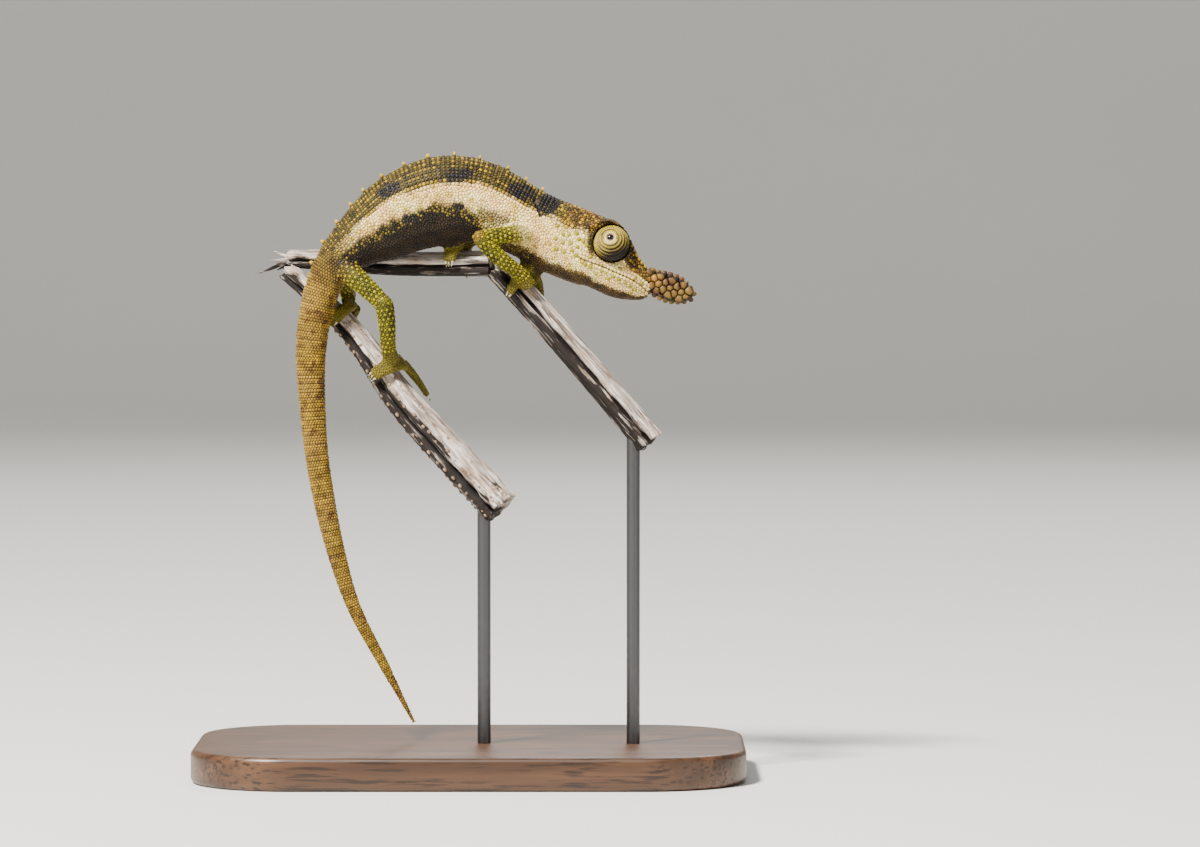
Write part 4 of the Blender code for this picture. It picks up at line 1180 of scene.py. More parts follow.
def sight(side):
    """A frame with its Z axis along the line of sight, at the middle of the right (-1) or left (1) eye."""
    tilt = math.radians(24)
    gaze = Vector((-0.06, side * math.cos(tilt), math.sin(tilt))).normalized()
    across = Vector((1, 0, 0)).cross(gaze).normalized()
    turn = Matrix((across.cross(gaze), across, gaze)).transposed().to_4x4()
    return Matrix.Translation((EYE[0], side * EYE[1], EYE[2])) @ turn


def lid_radius(angle):
    """The lid swells and sinks in soft folds as the angle from the line of sight grows, in degrees."""
    fold = 0.075 * math.cos(2 * math.pi * angle / FOLD_PITCH) * float(smoothstep(24, 36, angle))
    return EYE_RADIUS + fold + 0.05 * float(smoothstep(52, 84, angle))


def lid_profile():
    """From the middle of the back, round the outside to the rim of the hole, and down into it."""
    profile = [(0.0, EYE_RADIUS * math.cos(math.radians(LID_END)))]
    for step in range(LID_END, 20, -1):
        a = math.radians(step)
        profile.append((lid_radius(step) * math.sin(a), lid_radius(step) * math.cos(a)))
    for step in range(0, 181, 20):
        a = math.radians(step)
        profile.append((LID_HOLE - 0.07 + 0.09 * math.cos(a), 1.87 + 0.10 * math.sin(a)))
    return profile + [(LID_HOLE - 0.12, 1.64), (0.0, 1.54)]


def spun(name, profile, matrix, steps=112):
    """Turns a profile of radius and height once round the Z axis."""
    mesh = bpy.data.meshes.new(name)
    mesh.from_pydata([(r, 0, h) for r, h in profile], [(k, k + 1) for k in range(len(profile) - 1)], [])
    piece = in_scene(name, mesh)
    add_modifier(piece, "SCREW", steps=steps, render_steps=steps, use_merge_vertices=True,
                 merge_threshold=0.002)
    apply_modifiers(piece)
    weld(piece, 0.001)
    piece.data.transform(matrix)
    return piece


# %% Rows of granules round the lid
def lid_rows(side):
    """One ring of small scales on each fold and in each hollow of the lid."""
    frame_of_eye = sight(side)
    turn = frame_of_eye.to_3x3()
    entries = []
    for number in range(12):
        angle = 24.0 + 0.5 * FOLD_PITCH * number
        wide, tall = math.sin(math.radians(angle)), math.cos(math.radians(angle))
        count = round(2 * math.pi * EYE_RADIUS * wide / 0.245)
        for k in range(count):
            round_eye = 2 * math.pi * (k + 0.5 * (number % 2)) / count
            out = Vector((wide * math.cos(round_eye), wide * math.sin(round_eye), tall))
            along = Vector((-math.sin(round_eye), math.cos(round_eye), 0))
            spot = frame_of_eye @ (out * lid_radius(angle))
            size = 0.235 + 0.02 * random.random()
            entries.append(entry_of(spot, turn @ out, turn @ along, size, (1.0, 1.0, 0.20), angle / LID_END))
    return entries


def lid_material(name):
    """Olive yellow above, and below a near black brown that is mostly painted shade, with painted shade in the
    folds and between the granules.
    """
    material, tree = new_material(name)
    position = object_place(tree)
    tint, height, angle = channels(tree, attribute(tree, "paint_d"))
    x, _, high = channels(tree, position)
    slope = calculate(tree, "SUBTRACT", high, product(tree, x, 0.35))
    # Below this slope the lid gets painted shade, near black brown; above it the lid stays olive yellow
    upper = ramp(tree, slope, 0.0565, 0.0583)
    patches = calculate(tree, "ADD", product(tree, mottle(tree, 1400, 0.3, 0.7, position), 0.35), 0.75)
    color = blend(tree, product(tree, upper, patches, True), linear(26, 19, 8), linear(180, 158, 52))
    mottled = product(tree, mottle(tree, 1100, 0.52, 0.66, position), upper)
    color = blend(tree, mottled, color, linear(112, 92, 38))
    # Painted shade darkens the hollows of the folds, and more so on the lower half
    wave = calculate(tree, "COSINE", product(tree, angle, 2 * math.pi * LID_END / FOLD_PITCH))
    hollow = ramp(tree, wave, 0.5, -0.8)
    deeper = remainder(tree, product(tree, upper, 0.4))
    color = blend(tree, product(tree, hollow, deeper), color, linear(26, 18, 8))
    # The rim of the hole is cream, and wider below the pupil than above it
    below = ramp(tree, high, 0.0650, 0.0642, 0.0, 0.045)
    margin = ramp(tree, calculate(tree, "SUBTRACT", angle, below), 0.180, 0.160)
    color = blend(tree, margin, color, linear(224, 208, 142))
    # Painted shade at the feet of the granules and a painted highlight on their tops
    dark = ramp(tree, height, 0.0, 0.7, 0.55, 1.1)
    vary = ramp(tree, tint, 0.0, 1.0, 0.85, 1.12)
    color = scaled(tree, color, product(tree, dark, vary))
    finish(tree, Base_Color=color, Roughness=0.5, Specular_IOR_Level=0.3)
    return material


def eye_material():
    """A black pupil, a narrow ivory iris and pink at the sides, under a wet clear coat."""
    material, tree = new_material("eye_wet")
    position = object_place(tree)
    ragged = product(tree, mottle(tree, 5200, 0.3, 0.7, position), 0.05)
    reach = calculate(tree, "ADD", attribute(tree, "from_axis", "Fac"), ragged)
    color = linear(6, 6, 8)
    for low, high, ring in ((0.44, 0.46, linear(222, 190, 150)), (0.48, 0.50, linear(196, 116, 92)),
                            (0.54, 0.58, linear(104, 74, 46))):
        color = blend(tree, ramp(tree, reach, low, high), color, ring)
    finish(tree, Base_Color=color, Roughness=0.12, Coat_Weight=1.0, Coat_Roughness=0.03)
    return material


lid_entries = []
lid_paint, eye_paint = lid_material("lid_skin"), eye_material()
for side, word in ((-1, "right"), (1, "left")):
    lid = spun(f"eyelid_{word}_turret", lid_profile(), sight(side))
    from_middle = points_of(lid) - np.array((EYE[0], side * EYE[1], EYE[2]))
    gaze = np.array(sight(side).to_3x3().col[2])
    cosine = from_middle @ gaze / np.linalg.norm(from_middle, axis=1)
    lean = np.degrees(np.arccos(np.clip(cosine, -1, 1)))
    write_colour(lid.data, "paint_d", [0.5, 0.45, lean / LID_END])
    lid.data.materials.append(lid_paint)
    settle(lid, f"eyelid_{word}_turret", [f"eyelid_{word}"], angle=60)
    lid_entries += lid_rows(side)
    pick(lid)
    bpy.ops.mesh.primitive_uv_sphere_add(segments=64, ring_count=40, radius=0.62)
    eye = bpy.context.object
    from_axis = eye.data.attributes.new("from_axis", "FLOAT", "POINT")
    beside = np.hypot(*points_of(eye)[:, :2].T) + FAR * (points_of(eye)[:, 2] < 0)
    from_axis.data.foreach_set("value", beside.astype(np.float32))
    eye.data.transform(sight(side) @ Matrix.Translation((0, 0, 1.43)))
    eye.data.materials.append(eye_paint)
    settle(eye, f"eye_{word}_ball", [f"eye_{word}"], angle=180)


lid_scales = columns(lid_entries)
lids, owner, height = stamp("scales_lids", lid_scales, reaches(lid_scales))
roots = lid_scales["point"]
lay_out(lids, owner, unrolled(roots, np.zeros(len(roots), int), body_coords(roots)[0]))
write_colour(lids.data, "paint_d", [draw.random(len(roots))[owner], height, lid_scales["bright"][owner]])
lids.data.materials.append(lid_paint)
settle(lids, "scales_lids", angle=75)

# %% [markdown]
# ## The horn
# The horn is soft, flat from side to side and covered by plump rounded scales, like a long raspberry. A
# sheet is rolled into the blade, and the scales are stamped in staggered rows on both faces and along its
# rim.

# %% Roll a sheet into a tube
HORN_ROOT, HORN_TIP = Vector((19.9, 0.0, 59.95)), Vector((26.7, 0.0, 57.45))
HORN_HEIGHTS = (1.15, 1.20, 1.30, 1.45, 1.52, 1.48, 1.18, 0.30)
HORN_THICKNESSES = (0.70, 0.56, 0.46, 0.40, 0.38, 0.36, 0.32, 0.26)
HORN_SCALE = 0.84


def rolled(name, around, along, place_of):
    """A flat grid whose points are moved to place_of(turn, share), closed at the seam and at both ends."""
    pick(skin)
    bpy.ops.mesh.primitive_grid_add(x_subdivisions=around, y_subdivisions=along, size=1)
    piece = bpy.context.object
    piece.name = name
    flat = points_of(piece) + 0.5
    move_points(piece, [place_of(2 * math.pi * float(u), float(v)) for u, v, _ in flat])
    weld(piece, 0.0005, close=True)
    return piece


def horn_size(t, sizes):
    return float(np.interp(t * (len(sizes) - 1), range(len(sizes)), sizes))


def horn_place(t, rise, out):
    """A place on the horn: t along it, then up and sideways from its middle."""
    ahead = (HORN_TIP - HORN_ROOT).normalized()
    up = Vector((-ahead.z, 0, ahead.x))
    return HORN_ROOT.lerp(HORN_TIP, t) + up * rise + Vector((0, out, 0))


def blade(turn, t):
    high, thick = horn_size(t, HORN_HEIGHTS), horn_size(t, HORN_THICKNESSES)
    return horn_place(t, high * math.cos(turn), thick * math.sin(turn))


def horn_entries():
    """Face rows on both sides, then one row round the rim."""
    ahead = (HORN_TIP - HORN_ROOT).normalized()
    length = (HORN_TIP - HORN_ROOT).length
    columns = round(length / (HORN_SCALE * 0.87))
    entries = []
    for column in range(1, columns):
        t = column / columns
        reach = horn_size(t, HORN_HEIGHTS)
        for row in (n + (0.5 if column % 2 else 0.0) for n in range(-2, 3)):
            rise = row * HORN_SCALE * 0.97
            if abs(rise) > reach - 0.45 * HORN_SCALE:
                continue
            share = rise / reach
            out = horn_size(t, HORN_THICKNESSES) * math.sqrt(1 - share**2)
            for side in (-1, 1):
                normal = Vector((0, side, 0)) + 0.35 * share * (horn_place(t, 1, 0) - horn_place(t, 0, 0))
                size = HORN_SCALE * (1.12 + 0.14 * math.sin(7 * column + 3 * row))
                place = horn_place(t + 0.012 * math.sin(5 * row), rise, side * out)
                lean = ahead + 0.5 * math.sin(3 * column + 2 * row) * Vector((0, 0, 1))
                entries.append(entry_of(place, normal, lean, size, (1.0, 0.96, 0.36), kind="plump"))
    rim = [(k / 60, side) for side, turn in ((1, 1), (-1, -1)) for k in range(8, 61)[::turn]]
    spots = [horn_place(t, side * horn_size(t, HORN_HEIGHTS), 0) for t, side in rim]
    travelled, last = 0.0, spots[0]
    for (t, side), spot in zip(rim, spots):
        travelled += (spot - last).length
        last = spot
        if travelled < 0.72:
            continue
        travelled = 0.0
        normal = (spot - HORN_ROOT.lerp(HORN_TIP, min(t, 0.86))).normalized()
        size = HORN_SCALE * (1.06 + 0.14 * math.sin(5 * len(entries)))
        entries.append(entry_of(spot - normal * 0.10, normal, ahead, size, (0.96, 1.05, 0.52), kind="plump"))
    return entries


def horn_material():
    """Red-brown scales with painted highlights on their tops and painted shade in the gaps, yellower at the
    upper root.
    """
    material, tree = new_material("horn_scales")
    position = object_place(tree)
    tint, height, _ = channels(tree, attribute(tree, "paint_d"))
    color = blend(tree, tint, linear(48, 30, 12), linear(90, 60, 26))
    color = blend(tree, mottle(tree, 620, 0.47, 0.58, position), color, linear(104, 82, 30))
    color = blend(tree, mottle(tree, 1500, 0.54, 0.68, position), color, linear(48, 27, 12))
    root = ramp(tree, channels(tree, position)["X"], 0.0236, 0.0212)
    color = blend(tree, product(tree, root, tint), color, linear(170, 124, 42))
    # A painted highlight on the tops of the scales
    top = ramp(tree, height, 0.75, 1.0)
    color = blend(tree, product(tree, top, 0.15), color, linear(158, 100, 60))
    # Painted shade down the sides of the scales and in the gaps between them
    color = scaled(tree, color, ramp(tree, height, 0.0, 0.6, 0.14, 1.0))
    relief(tree, 0.5, 0.00004, speckle(tree, 5200, position))
    finish(tree, Base_Color=color, Roughness=0.5, Specular_IOR_Level=0.3)
    return material


core = rolled("horn_core", 48, 60, blade)
horn_scales = columns(horn_entries())
knobs, owner, height = stamp("horn_scales", horn_scales, reaches(horn_scales))
knob_tint = draw.random(owner.max() + 1)[owner]
# The core shows only in the gaps, so its low height gives it dark painted shade
write_colour(core.data, "paint_d", [0.3, 0.06, 0.0])
write_colour(knobs.data, "paint_d", [knob_tint, height, 0.0])
pick(core, knobs)
bpy.ops.object.join()
core.data.materials.append(horn_material())
settle(core, "horn", ["nose_horn"], angle=60)

# %% [markdown]
# ## Claws
# Each foot has five toes in two bundles that close round the twig, and each toe ends in a short pale
# claw. The toes follow arcs round the twig, so the same arcs give the place and the direction of every
# claw.

# %% The twig's three lengths, and the grips of the feet on them
# Path and radii, then the number of ribs and the side of the deep split in degrees
TWIGS = {
    "perch_bar": (
        ((-22.1, 5.9, 61.8), (-16.2, 5.25, 61.6), (-11.0, 4.6, 61.3), (-4.8, 2.9, 61.2), (2.6, 0.6, 61.3)),
        (1.05, 1.3, 1.4, 1.45, 1.55), 5, 96.0),
    "perch_thick_arm": (
        ((-22.2, 5.4, 60.4), (-14.5, 2.7, 53.4), (-8.2, 0.2, 45.0), (-0.7, -2.3, 36.9), (3.8, -3.8, 32.2)),
        (1.15, 1.42, 1.9, 2.15, 2.25), 7, 118.0),
    "perch_thin_arm": (
        ((3.4, 0.3, 60.9), (9.1, -1.1, 54.6), (16.4, -2.7, 46.2), (21.6, -3.8, 40.1)),
        (1.6, 1.62, 1.68, 1.74), 6, 90.0),
}
# Twig, share along it, side of the palm in degrees, then two bundles: toes, side, turns, slides and lifts
GRIPS = (
    ("perch_thin_arm", 0.115, 38,
     ((2, -1, (12, 112), (0.0, 1.3), (0.1, 0.0)), (3, 1, (12, 60), (0.9, 3.2), (0.1, 0.35)))),
    ("perch_bar", 0.86, 90,
     ((2, 1, (15, 115), (0.0, 0.2), (0.1, 0.0)), (3, -1, (15, 75), (-0.2, -0.6), (0.1, 0.0)))),
    ("perch_thick_arm", 0.415, 42,
     ((3, -1, (12, 105), (0.0, -0.2), (0.1, 0.0)), (2, 1, (4, 34), (0.3, 4.4), (0.1, 0.9)))),
    ("perch_thick_arm", 0.205, 42,
     ((3, 1, (15, 110), (0.0, 0.4), (0.1, 0.0)), (2, -1, (15, 100), (0.2, 0.6), (0.1, 0.0)))),
)
TOE_ROOT, TOE_END = 0.56, 0.38


def eased(rows, share):
    """A smooth curve through the rows, by the Catmull-Rom rule with even steps between them."""
    rows = np.array(rows, float)
    spot = share * (len(rows) - 1)
    i = min(int(spot), len(rows) - 2)
    return catmull_rom(*(rows[min(max(i + k, 0), len(rows) - 1)] for k in (-1, 0, 1, 2)), spot - i)


def toe_ends():
    """The end of each toe and the direction that it points in."""
    ends = []
    for twig, share, palm, bundles in GRIPS:
        path, radii, _, _ = TWIGS[twig]
        centre = Vector(eased(path, share))
        radius = float(eased(radii, share)) * 1.06
        ahead = Vector(eased(path, share + 0.005) - eased(path, share - 0.005)).normalized()
        top = Vector((math.cos(math.radians(palm)), 0, math.sin(math.radians(palm))))
        top = (top - ahead * top.dot(ahead)).normalized()
        across = Vector((0, 1, 0))
        across = (across - ahead * across.dot(ahead) - top * across.dot(top)).normalized()
        for toes, side, turns, slides, lifts in bundles:
            for n in range(toes):
                line = []
                for t in (0.8, 1.0):
                    turn, slide, lift, thick = (pair[0] + (pair[1] - pair[0]) * t
                                                for pair in (turns, slides, lifts, (TOE_ROOT, TOE_END)))
                    turn = math.radians(turn)
                    slide += (n - (toes - 1) / 2) * 0.64 * (1 - 0.35 * t)
                    out = math.cos(turn) * top + math.sin(turn) * side * across
                    line.append(centre + ahead * slide + out * (radius + 0.3 + thick + lift))
                ends.append((line[1], (line[1] - line[0]).normalized(), centre))
    return ends


def claw(end, ahead, centre):
    """A curved tapering horn that hooks towards the twig."""
    inward = (centre - end)
    inward = (inward - ahead * inward.dot(ahead)).normalized()
    side = ahead.cross(inward)

    def place_of(turn, t):
        axis = end + ahead * (0.95 * t - 0.15) + inward * 0.22 * t * t
        radius = 0.24 * (1 - t)**0.75 + 0.015
        return axis + radius * (math.cos(turn) * inward + 0.8 * math.sin(turn) * side)
    return rolled("claw", 20, 12, place_of)


def claw_material():
    material, tree = new_material("claw_horn")
    position = object_place(tree)
    color = blend(tree, mottle(tree, 1600, 0.4, 0.6, position), linear(230, 224, 202), linear(204, 192, 160))
    finish(tree, Base_Color=color, Roughness=0.3)
    return material


claws = [claw(*end) for end in toe_ends()]
pick(*claws)
bpy.ops.object.join()
claws = bpy.context.object
claws.data.materials.append(claw_material())
settle(claws, "claws", angle=60)

# %% [markdown]
# ## The weathered twig
# The twig is dead, barkless and split by the sun. Each length is a rolled sheet again, and its radius is
# worked out from ribs, one deep split and many fine cracks that all run with the grain.

# %% Grain, cracks and the split
GRAIN_SHAPES = {"perch_bar": (150, 300), "perch_thick_arm": (180, 340), "perch_thin_arm": (170, 300)}


def cracks(turn, run, seed):
    """How deep the cracks are at a place: long thin lines where two noises meet."""
    around = Vector((2.4 * math.cos(turn), 2.4 * math.sin(turn), 0.10 * run + seed))
    wide = abs(noise.noise(around * 1.1))
    thin = abs(noise.noise(around * 2.9 + Vector((7, 3, 0))))
    here = 0.5 + noise.noise(Vector((0.3 * run, 1.5 * math.cos(turn), seed)))
    depth = 0.8 * max(0.0, 1 - wide / 0.06)**1.3 + 0.45 * max(0.0, 1 - thin / 0.10)
    return min(1.0, max(0.0, here)) * depth


def twig_frame(name, share):
    """Centre, direction, two directions across it and the radius at a share of the way along a twig."""
    path, radii, _, _ = TWIGS[name]
    ahead = Vector(eased(path, min(1, share + 0.01)) - eased(path, max(0, share - 0.01))).normalized()
    side = ahead.cross(Vector((0, 1, 0))).normalized()
    return Vector(eased(path, share)), ahead, side, ahead.cross(side), float(eased(radii, share))


def make_twig(name, seed):
    """One length of the twig."""
    path, _, ribs, groove = TWIGS[name]
    around, along = GRAIN_SHAPES[name]
    length = sum((Vector(a) - Vector(b)).length for a, b in zip(path, path[1:]))

    def place_of(turn, share):
        centre, ahead, side, across, size = twig_frame(name, share)
        run = share * length
        sway = 4.0 * noise.noise(Vector((0.12 * run, seed, 0)))
        off = (math.degrees(turn) - groove + sway + 180) % 360 - 180
        gape = min(1.0, max(0.5, 0.8 + 0.9 * noise.noise(Vector((0.35 * run, seed + 5, 0)))))
        split = gape * math.exp(-(off / (3.0 + 9.0 * gape))**2)
        lip = math.exp(-((abs(off) - 24) / 11.0)**2)
        rib = 0.06 * math.cos(ribs * turn + 0.4 * math.sin(8 * share))
        fissure = cracks(turn, run, seed)
        rough = 0.02 * noise.noise(Vector((6 * math.cos(turn), 6 * math.sin(turn), 1.2 * run + seed)))
        radius = size * (1 + rib - 0.40 * split + 0.03 * lip + rough) - 0.13 * fissure
        which_end = seed + 9 * round(share)
        torn = 0.45 * noise.noise(Vector((2.2 * math.cos(turn), 2.2 * math.sin(turn), which_end)))
        centre = centre + ahead * torn * max(0.0, abs(2 * share - 1) - 0.94) / 0.06
        end = min(share, 1 - share) * length
        if end < 0.12:
            radius -= 0.10 * (1 - end / 0.12)**2
        return centre + radius * (math.cos(turn) * side + math.sin(turn) * across)

    return rolled(name, around, along, place_of)


def grain_of(piece, name, seed):
    """Stores for each corner where it is in the wood: round, round, along, and how deep in a crack."""
    path, radii, _, _ = TWIGS[name]
    samples = np.linspace(0, 1, 240)
    line = np.array([eased(path, s) for s in samples])
    size = np.array([float(eased(radii, s)) for s in samples])
    points = points_of(piece)
    near = ((points[:, None, :] - line[None])**2).sum(axis=2).argmin(axis=1)
    ahead = np.gradient(line, axis=0)
    ahead /= np.linalg.norm(ahead, axis=1)[:, None]
    side = np.cross(ahead, (0, 1, 0))
    side /= np.linalg.norm(side, axis=1)[:, None]
    across = np.cross(ahead, side)
    away = points - line[near]
    a, b = (away * side[near]).sum(axis=1), (away * across[near]).sum(axis=1)
    length = np.linalg.norm(np.diff(line, axis=0), axis=1).sum()
    run = samples[near] * length
    fissure = [cracks(math.atan2(q, p), r, seed) for p, q, r in zip(a, b, run)]
    depth = (1 - np.hypot(a, b) / size[near]) * (points[:, 0] > -22.0)
    write_colour(piece.data, "grain", [a, b, run])
    write_colour(piece.data, "hollow", [np.clip(depth, -1, 1), fissure, 0])


def wood_material():
    """Silver, pink and ochre streaks along the grain, black bark and painted shade on the lower side, and
    painted shade in the cracks and the split.
    """
    material, tree = new_material("dead_twig")
    grain = attribute(tree, "grain")
    hollow, fissure, _ = channels(tree, attribute(tree, "hollow"))

    def streaks(scale, stretch, low, high):
        return mottle(tree, scale, low, high, stretched(tree, grain, (1.0, 1.0, stretch)), 6.0)

    color = blend(tree, streaks(1.1, 0.22, 0.36, 0.64), linear(116, 102, 94), linear(204, 190, 180))
    color = blend(tree, streaks(2.6, 0.12, 0.5, 0.68), color, linear(232, 224, 216))
    color = blend(tree, streaks(1.7, 0.16, 0.56, 0.70), color, linear(104, 84, 72))
    color = blend(tree, product(tree, streaks(0.9, 0.3, 0.55, 0.66), 0.6), color, linear(172, 140, 104))
    color = blend(tree, product(tree, streaks(8.0, 0.06, 0.52, 0.62), 0.55), color, linear(66, 52, 46))
    # The black is partly bark that is left, in streaks, and partly painted shade on the lower side
    under = ramp(tree, channels(tree, grain)[0], 0.5, -1.1)
    bark_and_under_shade = ramp(tree, calculate(tree, "ADD", under, streaks(0.8, 0.25, 0.35, 0.75)), 0.74, 0.92)
    peeled = product(tree, streaks(2.2, 0.14, 0.54, 0.62), 0.5)
    bark_and_under_shade = product(tree, bark_and_under_shade, remainder(tree, peeled))
    color = blend(tree, product(tree, bark_and_under_shade, 0.985), color, linear(25, 20, 18))
    # Painted shade in the cracks, and darker painted shade deep in the split
    color = blend(tree, product(tree, ramp(tree, fissure, 0.1, 0.7), 0.9), color, linear(48, 36, 32))
    color = blend(tree, ramp(tree, hollow, 0.10, 0.24), color, linear(24, 18, 17))
    relief(tree, 0.6, 0.00008, streaks(6.0, 0.07, 0.3, 0.7))
    finish(tree, Base_Color=color, Roughness=0.82, Specular_IOR_Level=0.2)
    return material


wood = wood_material()
# The point of each torn fibre, and its radius at the root
SPLINTERS = (
    (-25.7, 5.9, 60.1, 0.42), (-24.3, 5.2, 61.5, 0.36), (-23.9, 6.6, 62.6, 0.34), (-23.5, 6.3, 60.4, 0.34),
)


def splinter(number, x, y, z, radius):
    """A torn fibre, flat and ragged, that tapers to a point."""
    start = Vector((-22.1, 5.9, 61.8)) + Vector((1.1, 0.12 * (number - 1.5), 0.28 * (1.5 - number)))
    tip = Vector((x, y, z))
    ahead = (tip - start).normalized()
    side = ahead.cross(Vector((0, 1, 0))).normalized()
    across = ahead.cross(side)

    def place_of(turn, t):
        bend = 0.18 * math.sin(3.0 * t + number) * t
        ragged = 1 + 0.25 * noise.noise(Vector((3 * math.cos(turn), 3 * math.sin(turn), 2.5 * t + number)))
        reach = radius * (1 - t)**0.8 * ragged + 0.02
        flat = across * 0.6 * reach * math.sin(turn)
        return start.lerp(tip, t) + side * (bend + reach * math.cos(turn)) + flat
    return rolled("splinter", 24, 40, place_of)


for seed, name in enumerate(TWIGS):
    twig = make_twig(name, 3.0 + 11 * seed)
    if name == "perch_bar":
        fibres = [splinter(k, *tip) for k, tip in enumerate(SPLINTERS)]
        pick(twig, *fibres)
        bpy.ops.object.join()
    grain_of(twig, name, 3.0 + 11 * seed)
    twig.data.materials.append(wood)
    settle(twig, f"{name}_wood", [name], angle=50)

# %% [markdown]
# ## Buds on the thick arm
# Small tan knobs stand in rows along the ribs of the thicker arm, where the bark has worn away around
# them. They are stamped like scales.

# %% Rows of buds
def bud_entries():
    """Knobs along four lines of the thick arm, unevenly spaced."""
    entries = []
    split = TWIGS["perch_thick_arm"][3]
    for line_turn in (split - 27, split + 24, split + 62, split - 66):
        share = 0.16 + 0.02 * random.random()
        while share < 0.97:
            share += 0.018 + 0.022 * random.random()
            centre, ahead, side, across, size = twig_frame("perch_thick_arm", min(share, 0.97))
            turn = math.radians(line_turn + random.uniform(-5, 5))
            out = math.cos(turn) * side + math.sin(turn) * across
            wide = random.uniform(0.24, 0.42)
            place = centre + out * size * 0.99
            entries.append(entry_of(place, out, ahead, wide, (1.25, 0.9, 0.55), kind="boss"))
    return entries


buds = columns(bud_entries())
knobs, owner, height = stamp("twig_buds", buds, reaches(buds))
write_colour(knobs.data, "paint_d", [draw.random(len(buds["size"]))[owner], height, 0.0])
bud_paint, tree = new_material("bud_wood")
tint, height, _ = channels(tree, attribute(tree, "paint_d"))
tan = blend(tree, tint, linear(176, 148, 116), linear(120, 98, 80))
# Painted shade at the foot of each bud, where it meets the wood
finish(tree, Base_Color=blend(tree, height, linear(40, 30, 26), tan), Roughness=0.8)
knobs.data.materials.append(bud_paint)
settle(knobs, "twig_buds", angle=60)

# %% [markdown]
# ## The stand
# A small turned-edge block of oiled wood and two darkened steel rods hold the twig. They should be quiet.

# %% Base and rods
BASE_SIZE = (66.0, 42.0, 4.0)
pick(skin)
bpy.ops.mesh.primitive_cube_add(size=1, location=(0, 0, BASE_SIZE[2] / 2))
base = bpy.context.object
base.scale = BASE_SIZE
bpy.ops.object.transform_apply(location=True, rotation=False, scale=True)
add_modifier(base, "BEVEL", width=12.0, segments=24, limit_method="WEIGHT", affect="EDGES")
weight = base.data.attributes.new("bevel_weight_edge", "FLOAT", "EDGE")
for edge in base.data.edges:
    a, b = (base.data.vertices[i].co for i in edge.vertices)
    weight.data[edge.index].value = float(abs(a.z - b.z) > 1)
apply_modifiers(base)
add_modifier(base, "BEVEL", width=0.7, segments=5, limit_method="ANGLE", angle_limit=math.radians(60))
apply_modifiers(base)


def oiled_wood():
    material, tree = new_material("oiled_wood")
    position = object_place(tree)
    long = stretched(tree, position, (0.07, 1.0, 1.0))
    color = blend(tree, mottle(tree, 420, 0.35, 0.65, long, 6.0), linear(64, 42, 28), linear(96, 66, 44))
    color = blend(tree, mottle(tree, 2600, 0.52, 0.62, long, 6.0), color, linear(44, 28, 19))
    finish(tree, Base_Color=color, Roughness=0.38)
    return material


def dark_steel():
    material, tree = new_material("dark_steel")
    position = object_place(tree)
    rough = ramp(tree, mottle(tree, 1500, 0.3, 0.7, position), 0.0, 1.0, 0.3, 0.42)
    finish(tree, Base_Color=linear(92, 92, 94), Roughness=rough, Metallic=1.0)
    return material


base.data.materials.append(oiled_wood())
settle(base, "base_block", ["stand_base"], angle=30)
steel = dark_steel()
RODS = (("stand_rod_rear", "perch_thick_arm", 0.86), ("stand_rod_front", "perch_thin_arm", 0.84))
for name, twig, share in RODS:
    top = eased(TWIGS[twig][0], share)
    low_end, high_end = BASE_SIZE[2], top[2] - 0.4
    pick(skin)
    bpy.ops.mesh.primitive_cylinder_add(vertices=48, radius=0.8, depth=high_end - low_end,
                                        location=(top[0], top[1], (high_end + low_end) / 2))
    rod = bpy.context.object
    rod.data.materials.append(steel)
    settle(rod, f"{name}_steel", [name], angle=40)

# %% [markdown]
# ## Floor, light and camera
# The part stands on a plain pale sweep. One large soft light comes from the upper left, as the sun does
# in the photo, with a weaker one from the right and a pale surround. The camera has a long lens and looks
# almost level.

# %% The sweep
def plain_material(name, color, roughness):
    material, tree = new_material(name)
    position = object_place(tree)
    paler = tuple(min(1.0, v * 1.03) for v in color)
    cloudy = blend(tree, mottle(tree, 6, 0.3, 0.7, position), color, paler)
    finish(tree, Base_Color=cloudy, Roughness=roughness)
    return material


FLOOR_FRONT, CURVE_START, CURVE_RADIUS, WALL_TOP = -1.6, 0.95, 0.6, 2.4


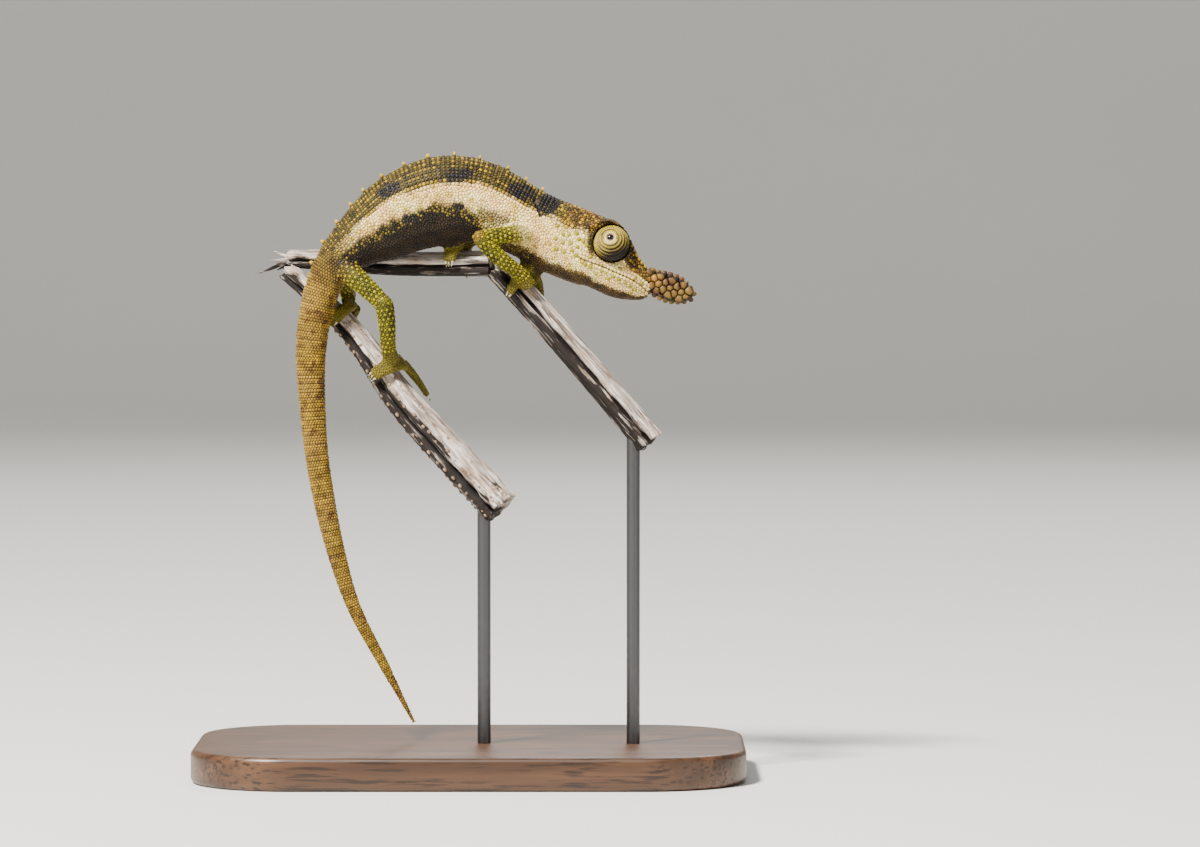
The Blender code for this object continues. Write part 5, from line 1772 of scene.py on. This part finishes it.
def sweep_place(run):
    """The floor runs back, curves up and becomes the wall."""
    flat = CURVE_START - FLOOR_FRONT
    if run < flat:
        return FLOOR_FRONT + run, 0.0
    turn = (run - flat) / CURVE_RADIUS
    if turn < math.pi / 2:
        return CURVE_START + CURVE_RADIUS * math.sin(turn), CURVE_RADIUS * (1 - math.cos(turn))
    return CURVE_START + CURVE_RADIUS, CURVE_RADIUS + (turn - math.pi / 2) * CURVE_RADIUS


bpy.ops.object.select_all(action="DESELECT")
bpy.ops.mesh.primitive_grid_add(x_subdivisions=2, y_subdivisions=80, size=1)
floor = bpy.context.object
floor.name = "floor"
runs = (points_of(floor)[:, 1] + 0.5) * 5.0
move_points(floor, [(4.0 * x, *sweep_place(run)) for x, run in zip(points_of(floor)[:, 0], runs)])
bpy.ops.object.shade_smooth()
floor.data.materials.append(plain_material("pale_floor", (0.70, 0.70, 0.68), 0.9))


# %% Lights
def soft_light(name, place, size, power, warmth=(1, 1, 1)):
    """An area light that looks at the animal."""
    lamp = bpy.data.lights.new(name, "AREA")
    lamp.size = size
    lamp.energy = power
    lamp.color = warmth
    light = in_scene(name, lamp)
    light.location = place
    aim = Vector((0, 0, 0.05)) - Vector(place)
    light.rotation_euler = aim.to_track_quat("-Z", "Y").to_euler()


soft_light("key", (-0.30, -0.36, 0.62), 0.12, 21.0, (1.0, 0.96, 0.88))
soft_light("fill", (0.55, -0.5, 0.25), 0.5, 0.8, (1.0, 0.99, 0.96))
soft_light("back", (0.1, 0.6, 0.5), 0.4, 2.2)
world = bpy.data.worlds.new("studio")
bpy.context.scene.world = world
world.use_nodes = True
world.node_tree.nodes["Background"].inputs["Color"].default_value = (0.96, 0.95, 0.92, 1.0)
world.node_tree.nodes["Background"].inputs["Strength"].default_value = 0.25

# %% Camera
FRAME_WIDTH = 0.144
LENS = 175.0
SENSOR = 36.0
TARGET = Vector((0.0156, 0.0, 0.04218))
LOOK_DOWN = math.radians(2.5)
distance = FRAME_WIDTH * LENS / SENSOR
camera_data = bpy.data.cameras.new("camera")
camera_data.lens = LENS
camera_data.sensor_width = SENSOR
camera_data.clip_start = 0.01
camera = in_scene("camera", camera_data)
camera.location = TARGET + distance * Vector((0, -math.cos(LOOK_DOWN), math.sin(LOOK_DOWN)))
camera.rotation_euler = (TARGET - camera.location).to_track_quat("-Z", "Y").to_euler()
bpy.context.scene.camera = camera
